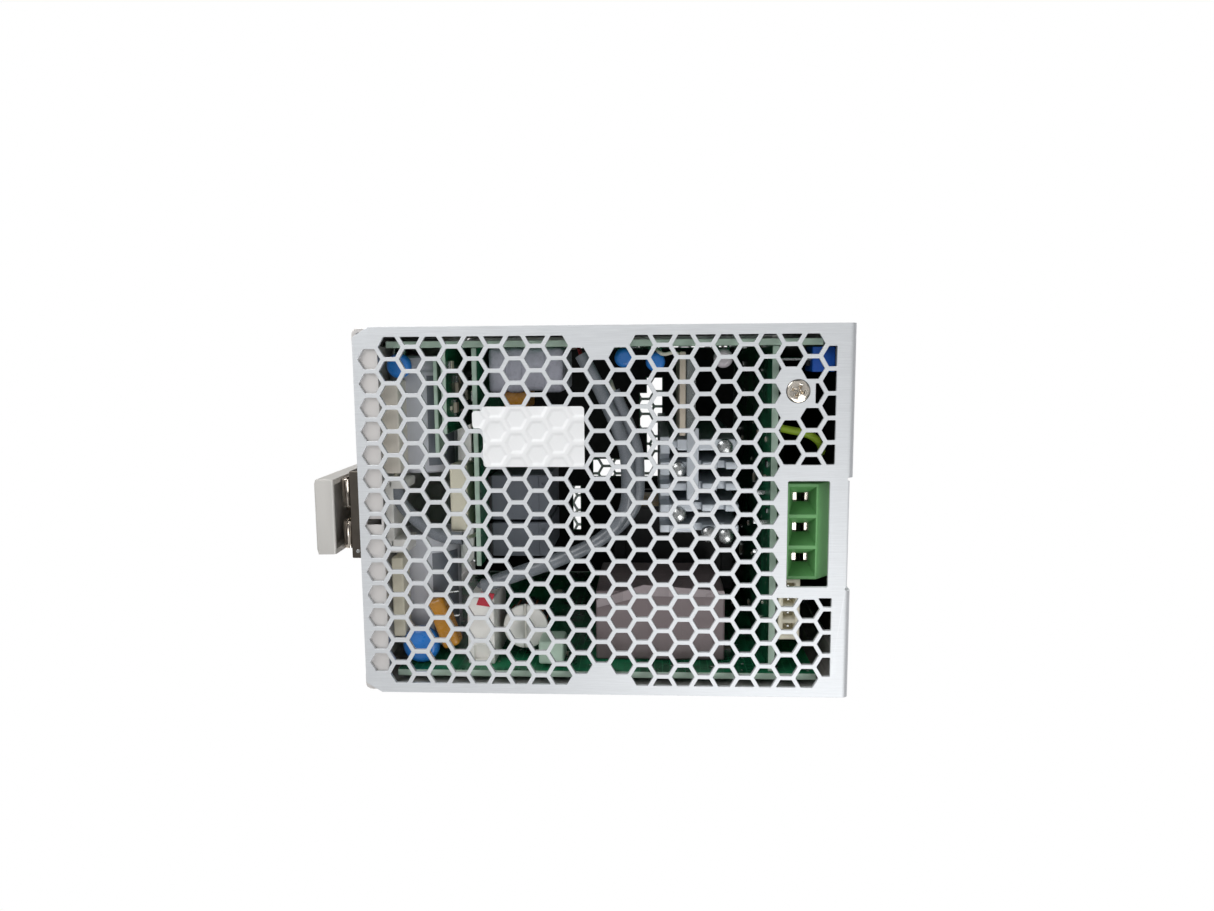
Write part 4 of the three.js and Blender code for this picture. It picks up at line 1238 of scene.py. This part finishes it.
def make_wrapped_transformer():
    """A wound part in crinkled lavender tape, with a patch of ochre tape on its side."""
    low, high = node_box("wrapped_transformer")
    parts = [block("lavender", (low.x, low.y + 0.5, low.z + 0.4),
                   (high.x - 0.4, high.y - 0.5, high.z), 1.9, 5)]
    for y0, y1, out in ((-55.7, -50.6, 0.0), (-46.0, -41.5, 0.1), (-41.9, -37.1, 0.0)):
        parts.append(block("lavender", (low.x, y0, low.z + out), (high.x, y1, high.z - 3), 1.6, 4))
    parts.append(block("ochre", (-29.0, -46.5, low.z + 2), (-24.7, -40.5, low.z + 16), 0.7))
    assemble("gate_transformer", parts, slot="lavender_tape", replaces="wrapped_transformer")


def make_relay(node):
    """A grey relay-like case on a black base."""
    low, high = node_box(node)
    case = block("graphite", low, (high.x, high.y - 0.9, high.z), 0.55)
    base = block("black", (low.x + 0.3, high.y - 1.0, low.z + 0.3),
                 (high.x - 0.3, high.y, high.z - 0.3), 0.2, 2)
    groove = box_bm((low.x - 1, low.y + 2.6, low.z - 1), (high.x + 1, low.y + 2.9, low.z + 0.25))
    carve(case, [groove, peg_bm(0.6, -1, 0.4, 2, (low.x + 2, low.y + 1.4, low.z), 20)])
    assemble(f"{node}_case", [case, base], slot="grey_plastic", replaces=node)


def make_fuse_holder():
    """A white carrier with a recess and a slanted red mark."""
    low, high = node_box("fuse_holder")
    body = block("white", low, high, 0.5)
    carve(body, [box_bm((low.x + 12.5, low.y + 1.6, low.z - 1), (high.x - 1.2, high.y - 1.6, low.z + 1.2))])
    parts = [soften(body, 0.1, 1)]
    slant = [(21.5, -34.3), (24.9, -33.0), (25.4, -36.6), (22.0, -37.7)]
    parts.append(painted(prism("red_flash", slant, 2, low.z - 0.12, low.z + 0.3, 0.05, 1), "red"))
    assemble("fuse_carrier", parts, slot="white_plastic", replaces="fuse_holder")


def make_ring_choke():
    """A toroid with a white cap and turns of enamelled wire."""
    (x, y), low, high = (32.2, -44.7), -52.0, -42.0
    half = [(2.0, low + 1.6), (2.5, low + 1.1), (4.7, low + 1.1), (5.1, low + 1.6)]
    ring = half + [(r, low + high + 0.7 - z) for r, z in half[::-1]] + half[:1]
    cap = [(0, low), (5.1, low), (5.7, low + 0.25), (5.85, low + 0.8), (5.75, low + 1.3), (0, low + 1.3)]
    cap = turned("white", cap, 2, (x, y, 0))
    carve(cap, [box_bm((x - 7, y - 0.3, low - 1), (x + 7, y + 0.3, low + 0.8))])
    parts = [turned("ferrite", ring, 2, (x, y, 0)), cap]
    assemble("ring_inductor", parts, slot="white_plastic", replaces="ring_choke")
    path = [(5.2, low + 1.4), (5.35, low + 3), (5.35, high - 1.5), (4.6, high),
            (2.6, high), (1.8, high - 1.5), (1.8, low + 3), (2.4, low + 1.4)]
    assemble("ring_inductor_winding", wound((x, y), path, 14, 0, 0.28, closed=False, sides=4))


def wound(centre, path, turns, start, wire, closed, sides):
    """Copper turns about an upright axis, each along a path of (radius, height) points."""
    loops = []
    for i in range(turns):
        angle = 2 * math.pi * (i + start) / turns
        c, s = math.cos(angle), math.sin(angle)
        loop = [(centre[0] + r * c, centre[1] + r * s, z) for r, z in path]
        loops.append(painted(tube("turn", loop, wire, closed=closed, sides=sides), "copper"))
    return loops


def disc_part(name, centre, radius, thickness, material="blue_lacquer", axis=2, **claims):
    """A dipped disc part with two leads towards the nearest board."""
    profile = can_profile(radius, -thickness / 2, thickness / 2, thickness * 0.46)
    put(lathe(name, profile, axis, centre, 40), material, **claims)
    x, y, z = centre
    side = math.copysign(1, x)
    wires = [[(x + side * radius * 0.6, y + d, z), (side * 40, y + d, z + 1)] for d in (-1.3, 1.3)]
    leads(name + "_leads", wires, 0.3)


def make_film_capacitor():
    """An ochre resin block that leans a little on its two leads."""
    low, high = node_box("film_capacitor")
    middle, half = (low + high) / 2, (high - low) / 2
    body = bevelled(box_bm((-6.6, -half.y, -half.z), (6.6, half.y, half.z)), 1.35, 5)
    placed(body, -20, "Z", (middle.x + 3.9, middle.y - 1.7, middle.z))
    put(finish_mesh("film_block", body), "ochre", slot="ochre_resin", replaces="film_capacitor")
    wires = [[(x, low.y + 1, high.z - 1), (x, low.y - 1.2, high.z), (x, REAR_Y - 21.5, high.z + 0.5)]
             for x in (22.6, 29.0)]
    leads("film_block_leads", wires, 0.35)


def make_bulk_capacitor(number, low_x, high_x, plus):
    """An electrolytic can lying along X in a light sleeve, with its crimp and end disc."""
    y, z, r = -17.6, -43.0, 8.5
    profile = [(0, 0.6), (r - 2.2, 0.6), (r - 1.9, 0.2), (r - 0.7, 0), (r - 0.1, 0.5), (r, 1.3), (r, 2.4),
               (r - 0.55, 3.1), (r - 0.55, 3.5), (r, 4.2)]
    profile = [(a, low_x + b) for a, b in profile]
    profile += [(r, high_x - 1.2), (r - 0.15, high_x - 0.5), (r - 0.7, high_x - 0.05), (r - 1.6, high_x),
                (r - 1.9, high_x - 0.25), (0, high_x - 0.25)]
    if plus:
        profile = [(a, low_x + high_x - b) for a, b in profile]
    parts = [turned("light_sleeve", profile, 0, (0, y, z), 72)]
    # A dark band over the lower side that faces -Y: partly the sleeve's stripe, partly painted shade where
    # the can turns from the light.
    sleeve_stripe_shade = [math.radians(a) for a in range(194, 252, 2)]
    bm = bmesh.new()
    rows = [[bm.verts.new((x, y + (r + 0.02) * math.cos(a), z + (r + 0.02) * math.sin(a))) for a in sleeve_stripe_shade]
            for x in (low_x + 5, high_x - 2)]
    for i in range(len(sleeve_stripe_shade) - 1):
        bm.faces.new((rows[0][i], rows[0][i + 1], rows[1][i + 1], rows[1][i]))
    parts.append(painted(finish_mesh("sleeve_stripe_shade", bm, smooth_angle=60), "graphite"))
    assemble(f"bulk_can_{number}", parts, slot="light_sleeve", replaces=f"bulk_capacitor_{number}")


def make_heat_sink():
    """A stamped plate with slotted fingers and upright fins."""
    low, high = node_box("heat_sink")
    web = rounded_box("web", (low.x, high.y - 2.6, low.z), (high.x, high.y, high.z), 0.3, 2)
    slots = (-12.6, -7.0, -1.6, 3.8)
    carve(web, [box_bm((x, high.y - 4, low.z - 1), (x + 2.2, high.y + 1, low.z + 7)) for x in slots])
    parts = [soften(web, 0.1, 1)]
    for x in (-16, -10.5, -5, 0.5, 6):
        fin = rounded_box("fin", (x, low.y, low.z), (x + 2, high.y - 2.3, high.z), 0.35, 2)
        nicks = [box_bm((x - 1, y, low.z - 1), (x + 3, y + 2.2, low.z + 3.2)) for y in (-96.5, -90.5)]
        parts.append(soften(carve(fin, nicks), 0.12, 1))
    parts.append(rounded_box("post", (-19.5, -89.4, -51.4), (-1.2, -86.4, -47.5), 0.3, 2))
    parts.append(rounded_box("finger", (-16.6, -98.6, -51.0), (-13.8, -84.0, -48.1), 0.3, 2))
    parts = [painted(p, "heat_sink") for p in parts]
    assemble("comb_heat_sink", parts, slot="heat_sink_aluminium", replaces="heat_sink")
    head = [(0, -1.2), (1.2, -1.1), (1.9, -0.6), (2.1, 0), (2.1, 0.6), (0, 0.6)]
    places = [(-8.5, -84.4, -48.2), (3.2, -84.4, -48.2), (8.2, -92.2, -49.0), (8.6, -96.6, -49.0),
              (-14.6, -96.0, -51.0)]
    assemble("heat_sink_screws", [turned("solder", head, 2, at, 28) for at in places])


make_boxed_choke()
make_output_transformer()
make_wrapped_transformer()
make_relay("relay_1")
make_relay("relay_2")
make_fuse_holder()
make_ring_choke()
disc_part("surge_disc_blue", (35.6, -18.4, -56.0), 4.75, 4.0, replaces="surge_disc", slot="blue_lacquer")
disc_part("filter_disc_blue", (-35.6, -15.0, -55.6), 3.1, 3.0)
disc_part("side_disc_blue_1", (-37.2, -70.8, -54.5), 2.4, 2.6)
disc_part("side_disc_blue_2", (-36.2, -78.5, -54.5), 2.4, 2.6)
disc_part("side_disc_grey", (-36.9, -95.2, -52.5), 2.4, 2.6, "pale_lacquer")
make_film_capacitor()
make_bulk_capacitor(1, -38, -8, False)
make_bulk_capacitor(2, 8, 38, True)
make_heat_sink()

# Sleeves with the wires between the boards. The long way carries two sleeves side by side.
LONG_WAY = [(-38, -60.4, -56), (-27.9, -65.7, -57), (-15.8, -70.8, -57.5), (-7.1, -71.7, -58),
            (0.7, -70.8, -58), (7.6, -64.8, -58), (12.8, -54.5, -58), (16.5, -44.4, -58), (20.1, -34.9, -57)]
REAR_WAY = [(-8, -13.5, -57), (-3, -14, -57), (1.5, -16.9, -57), (6.7, -23.8, -57), (7.6, -30, -57)]


def through(points):
    """Control points that make a smooth curve pass close to the given ones."""
    dense = []
    padded = [points[0]] + points + [points[-1]]
    for a, b, c, d in zip(padded, padded[1:], padded[2:], padded[3:]):
        a, b, c, d = (Vector(p) for p in (a, b, c, d))
        for k in range(4):
            t = k / 4
            dense.append(0.5 * (2 * b + (c - a) * t + (2 * a - 5 * b + 4 * c - d) * t * t
                                + (3 * b - a - 3 * c + d) * t ** 3))
    return dense + [Vector(points[-1])]


def make_sleeve(name, way, radius, wires, **claims):
    """A grey sleeve along a way, with two wires that come out of each end and turn inwards."""
    line = through(way)
    put(tube(name, line, radius, sides=14), "grey_sleeve", **claims)
    for end, inward, colour in ((line[0], line[1], wires[0]), (line[-1], line[-2], wires[1])):
        out = (end - inward).normalized()
        pieces = []
        for offset in (-0.55, 0.55):
            shift = Vector((0, 0, offset))
            path = [inward + shift, end + shift, end + out * 1.8 + Vector((0, 0, 1.5)),
                    end + out * 2.4 + Vector((0, 0, 5))]
            pieces.append(painted(tube("wire", path, 0.5), colour))
        assemble(f"{name}_wires_{colour}", pieces)


make_sleeve("long_sleeve_1", LONG_WAY, 1.7, ("wire_red", "grey_sleeve"),
            slot="grey_sleeve", replaces="cable_sleeve")
SECOND_WAY = [(x - 1.2, y - 2.6, z + 1.6) for x, y, z in LONG_WAY[1:]]
make_sleeve("long_sleeve_2", SECOND_WAY, 1.5, ("wire_white", "grey_sleeve"))
make_sleeve("short_sleeve", REAR_WAY, 1.7, ("wire_white", "wire_white"),
            slot="grey_sleeve", replaces="rear_sleeve")

# Plain pieces between the larger ones: name, material, limits, bevel and its segments.
SMALL_BLOCKS = [
    ("cream_block", "cream", (-10.8, -31.1, -55), (6.3, -26.6, -46), 0.8, 4),
    ("mint_block", "mint", (33.7, -55.3, -59), (39.7, -48.9, -50), 0.9, 4),
    ("rear_strip", "cream", (12.5, -14.8, -58.0), (33, -11.8, -52), 0.5, 3),
    ("rear_barrier", "pale_card", (-32, -15.2, -58.5), (-9.0, -10.8, -48), 0.6, 3),
    ("riser_board", "beige", (-38.6, -85.9, -56), (-18, -84.4, -20), 0.25, 2),
    ("clear_barrier", "clear", (-37, -88.4, -55), (-19, -86.1, -40), 0.2, 2),
    ("rear_insulating_sheet", "white", (-40.5, -8.9, -60.5), (40.5, -7.5, 57), 0.15, 1),
    ("rear_riser_board", "board_edge", (-38, -24.9, -57.5), (-13, -23.9, -50), 0.15, 1),
]


def small_parts():
    """Pieces that stand between the larger ones and show through the mesh."""
    for name, material, low, high, bevel, segments in SMALL_BLOCKS:
        piece = rounded_box(name, low, high, bevel, segments)
        if name == "rear_insulating_sheet":
            carve(piece, [box_bm((NOTCH_X[0] - 3, -10, -62), (NOTCH_X[1] + 3, -7, -52))])
        put(piece, material)
    arms = [block("white", (x0, -16.5, -59), (x1, -12.0, -50), 0.5) for x0, x1 in ((-7.5, -5.2), (7.5, 11))]
    assemble("white_wire_clip", [block("white", (-7.5, -13.2, -59), (11, -11.2, -50), 0.4)] + arms)
    parts = [block("cream", (16.7, -114, -59.5), (32.5, -108.6, -46), 0.6)]
    first_well, first_pin, pitch = 18.0, 18.9, 3.4
    wells = [first_well + pitch * i for i in range(4)]
    carve(parts[0], [box_bm((x, -112.8, -61), (x + 2.4, -109.8, -55)) for x in wells])
    for i in range(4):
        x = first_pin + pitch * i
        pin = bevelled(box_bm((x, -111.6, -58), (x + 0.6, -111.0, -50)), 0.12, 1)
        parts.append(painted(finish_mesh("pin", pin), "solder"))
    assemble("cream_connector", parts)
    earth = [(-20.2, -108.4, -57.4), (-19.6, -110, -58), (-19.3, -113.4, -58.3), (-17.8, -117.3, -57.6),
             (-15.4, -119.4, -55), (-13, -120.6, -48)]
    joint = [(0, -0.9), (0.9, -0.6), (1.15, 0), (0.9, 0.6), (0, 0.9)]
    loop = [(-38, -84, -57), (-38.8, -82.5, -58.5), (-37.4, -81, -59.2), (-38.5, -79, -58.2),
            (-40, -78.5, -55)]
    assemble("loose_wires", [painted(tube("wire", earth, 0.95, sides=10), "wire_yellow"),
                             turned("solder", joint, 1, (-20.1, -108.6, -57.4), 20),
                             painted(tube("wire", loop, 0.45, sides=8), "wire_white")])


small_parts()


def flat_coil(name, centre, radius, section, low, high, turns, wire):
    """A toroid lying flat, wound with thick wire."""
    inner = radius - section
    ring = [(inner, low + 0.6), (inner + 0.6, low), (radius - 0.6, low), (radius, low + 0.6),
            (radius, high - 0.6), (radius - 0.6, high), (inner + 0.6, high), (inner, high - 0.6),
            (inner, low + 0.6)]
    put(lathe(f"{name}_core", ring, 2, (*centre, 0)), "ferrite")
    path = [(radius + wire, low + 0.8), (radius + wire, high - 0.8), (radius - 0.8, high + wire),
            (inner + 0.8, high + wire), (inner - wire, high - 0.8), (inner - wire, low + 0.8),
            (inner + 0.8, low - wire), (radius - 0.8, low - wire)]
    assemble(f"{name}_winding", wound(centre, path, turns, 0.5, wire, closed=True, sides=6))


def upright_can(name, x, y, radius, high, sleeve):
    """A standing electrolytic can on the deck, with a bare scored top."""
    low = DECK_HIGH
    profile = [(0, low), (radius - 0.3, low), (radius, low + 0.3), (radius, low + 1.6),
               (radius - 0.45, low + 2.2), (radius, low + 2.8), (radius, high - 0.8),
               (radius - 0.3, high - 0.25), (radius - 0.9, high - 0.1), (radius - 1.0, high - 0.3),
               (0, high - 0.3)]
    disc = [(0, high - 0.6), (radius - 0.95, high - 0.6), (radius - 1.0, high - 0.2), (0, high - 0.12)]
    parts = [turned(sleeve, profile, 2, (x, y, 0)), turned("solder", disc, 2, (x, y, 0))]
    reach = radius - 1.6
    carve(parts[1], [box_bm((x - a, y - b, high - 0.25), (x + a, y + b, high + 1))
                     for a, b in ((reach, 0.15), (0.15, reach))])
    assemble(name, parts)


DECK_LOW, DECK_HIGH = 36.0, 37.4
# Cut-outs of the deck board, as X and Y limits.
DECK_CUTS = [((-29.1, 5.6), (-81.2, -75.9)), ((-23.8, -9.8), (-77, -73.5)), ((-0.6, 5.6), (-81.2, -56.8)),
             ((9.1, 25.0), (-52.2, -49.5))]


def make_deck():
    """The board across the upper part of the housing, with the output parts on it."""
    deck = rounded_box("deck", (-39.6, -106.2, DECK_LOW), (40.3, -13.6, DECK_HIGH), 0.12, 1)
    carve(deck, [box_bm((x0, y0, DECK_LOW - 1), (x1, y1, DECK_HIGH + 1))
                 for (x0, x1), (y0, y1) in DECK_CUTS])
    put(show_edges(deck, 2, "mask_z"), None)
    # A black insulating card under the deck; its black also paints the shade beneath the deck.
    card = box_bm((-39, -123.2, DECK_LOW - 0.7), (40, -14, DECK_LOW - 0.3))
    card = finish_mesh("deck_insulating_shade_card", card)
    front_low, front_high = node_box("front_board")
    gap = box_bm((-45, front_low.y - 0.3, 30), (45, front_high.y + 0.3, 40))
    holes = [box_bm((x0 - 0.4, y0 - 0.4, 30), (x1 + 0.4, y1 + 0.4, 40)) for (x0, x1), (y0, y1) in DECK_CUTS]
    put(carve(card, [gap] + holes), "insulating_shade_card")
    for i, x in enumerate((-32, -18.5, -5, 8.5)):
        upright_can(f"output_can_{i + 1}", x, -94.5, 6.0, 58.5, "black" if i % 2 else "graphite")
    flat_coil("output_choke", (26.5, -68), 10.5, 4.6, 39.5, 50, 22, 0.75)
    upright_can("aux_can_1", 18, -94, 3.2, 50, "graphite")
    upright_can("aux_can_2", 26, -96, 3.2, 50, "black")
    cases = [("cream", (-37, -70), (-25, -44), 54), ("graphite", (-20, -68), (-8, -50), 50),
             ("ochre", (-37, -40), (-18, -31), 52), ("white", (17, -46), (38, -34), 51)]
    assemble("deck_cases", [block(material, (*low, DECK_HIGH), (*high, top), 0.8)
                            for material, low, high, top in cases])
    fins = [block("heat_sink", (-14, y, DECK_HIGH), (10, y + 1.4, 57), 0.25, 2) for y in (-44, -40, -36, -32)]
    fins.append(block("heat_sink", (-14, -44, DECK_HIGH), (10, -30.6, DECK_HIGH + 2.2), 0.25, 2))
    assemble("deck_heat_sink", fins)
    for i, x in enumerate((-33, -26.5, 20, 26.5, 33)):
        disc_part(f"deck_disc_{i + 1}", (x, -22, 43), 3.6, 3.0, axis=1)
    chips = []
    for _ in range(60):
        x, y = rng.uniform(-37, 38), rng.uniform(-104, -16)
        if any(x0 - 3 < x < x1 + 3 and y0 - 3 < y < y1 + 3 for (x0, x1), (y0, y1) in DECK_CUTS):
            continue
        a, b = rng.choice([(1.0, 0.6), (1.6, 0.8), (0.8, 1.6)])
        chip = bevelled(box_bm((x - a, y - b, DECK_HIGH), (x + a, y + b, DECK_HIGH + 0.6)), 0.1, 1)
        chips.append(painted(finish_mesh("chip", chip), rng.choice(["black", "beige", "solder"])))
    assemble("deck_chips", chips)


make_deck()

# ---- Floor, light and camera ------------------------------------------------------------------------


def stage_material():
    """Pale and matt from above; it lets light and view through from below."""
    n = Nodes("studio_floor")
    n.finish(Base_Color=(0.82, 0.82, 0.82, 1), Roughness=0.9)
    facing = n.add("ShaderNodeNewGeometry").outputs["Backfacing"]
    nothing = n.add("ShaderNodeBsdfTransparent").outputs[0]
    mix = n.add("ShaderNodeMixShader", {0: facing, 1: n.shader.outputs[0], 2: nothing})
    n.feed(n.tree.nodes["Material Output"].inputs["Surface"], mix.outputs[0])
    return n.material


def make_stage():
    """A wide floor just under the object, seen by the camera alone."""
    bm = bmesh.new()
    size, level = 3000, -65.6
    corners = ((-size, -size), (size, -size), (size, size), (-size, size))
    bm.faces.new([bm.verts.new((x, y, level)) for x, y in corners])
    floor = finish_mesh("studio_floor", bm)
    floor.data.materials.append(stage_material())
    if floor.data.polygons[0].normal.z < 0:
        floor.data.flip_normals()
    floor.visible_shadow = floor.visible_diffuse = False
    floor.visible_glossy = floor.visible_transmission = False


def lamp(name, kind, power, facing, at=(0, 0, 0)):
    """A lamp whose light travels along facing."""
    data = bpy.data.lights.new(name, kind)
    data.energy = power
    light = linked(name, data)
    light.location = Vector(at) * MM
    light.rotation_mode = "QUATERNION"
    light.rotation_quaternion = facing.to_track_quat("-Z", "Y")
    return data


def area_light(name, at, aim, size, power):
    """A soft rectangle of light at one point, aimed at another."""
    data = lamp(name, "AREA", power, Vector(aim) - Vector(at), at)
    data.shape, data.size, data.size_y = "RECTANGLE", size[0] * MM, size[1] * MM


def sun(name, toward, strength, spread):
    """Even light from far away; toward points from the object to the lamp."""
    lamp(name, "SUN", strength, -Vector(toward)).angle = math.radians(spread)


def make_world():
    """White behind the object, and soft uneven grey light for everything but the camera."""
    world = bpy.data.worlds.new("studio")
    world.use_nodes = True
    nodes, links = world.node_tree.nodes, world.node_tree.links
    backdrop = nodes["Background"]
    backdrop.inputs["Color"].default_value = (1, 1, 1, 1)
    seen = nodes.new("ShaderNodeLightPath").outputs["Is Camera Ray"]
    sky = nodes.new("ShaderNodeTexNoise")
    sky.inputs["Scale"].default_value, sky.inputs["Detail"].default_value = 1.7, 1.0
    room = nodes.new("ShaderNodeMapRange")
    for socket, value in (("From Min", 0.42), ("From Max", 0.62), ("To Min", 0.04), ("To Max", 0.6)):
        room.inputs[socket].default_value = value
    strength = nodes.new("ShaderNodeMapRange")
    strength.inputs["To Max"].default_value = 1.0
    coordinates = nodes.new("ShaderNodeTexCoord").outputs["Generated"]
    links.new(coordinates, sky.inputs["Vector"])
    links.new(sky.outputs["Fac"], room.inputs["Value"])
    links.new(room.outputs[0], strength.inputs["To Min"])
    links.new(seen, strength.inputs["Value"])
    links.new(strength.outputs[0], backdrop.inputs["Strength"])
    bpy.context.scene.world = world
    bpy.context.scene.view_settings.view_transform = "Standard"


# The photograph's camera: below the unit, looking up at its bottom face, with the front to the right.
CAMERA_AT = (-39.72, -77.62, -271.45)
CAMERA_LENS, CAMERA_SENSOR = 26.0, 36.0
LEAN_TO_X, LEAN_TO_Y, CAMERA_ROLL = 7.028, 2.935, 0.088


def make_camera():
    """Looks along +Z, leaned by two angles in degrees, with -Y to the right of the picture."""
    data = bpy.data.cameras.new("camera")
    data.lens, data.sensor_width, data.clip_start = CAMERA_LENS, CAMERA_SENSOR, 0.01
    camera = linked("camera", data)
    lean_x, lean_y, roll = (math.radians(a) for a in (LEAN_TO_X, LEAN_TO_Y, CAMERA_ROLL))
    forward = Vector((math.sin(lean_x) * math.cos(lean_y), math.sin(lean_y),
                      math.cos(lean_x) * math.cos(lean_y)))
    right = Vector((0, -1, 0))
    right = (right - right.dot(forward) * forward).normalized()
    right = Matrix.Rotation(roll, 3, forward) @ right
    up = right.cross(forward)
    camera.matrix_world = Matrix((
        (right.x, up.x, -forward.x, CAMERA_AT[0] * MM),
        (right.y, up.y, -forward.y, CAMERA_AT[1] * MM),
        (right.z, up.z, -forward.z, CAMERA_AT[2] * MM),
        (0, 0, 0, 1)))
    bpy.context.scene.camera = camera


make_stage()
area_light("key_below", (200, -190, -370), (0, -75, -65), (240, 300), 0.83)
area_light("fill_below", (-260, 150, -330), (0, -20, -65), (200, 260), 0.84)
area_light("rim_below", (-420, 130, -150), (0, 5, -60), (160, 160), 0.9)
sun("key_above", (-420, -620, 520), 2.4, 30)
sun("fill_above", (620, 260, 460), 1.5, 40)
sun("rear_above", (-320, 620, 420), 1.4, 40)
make_world()
make_camera()
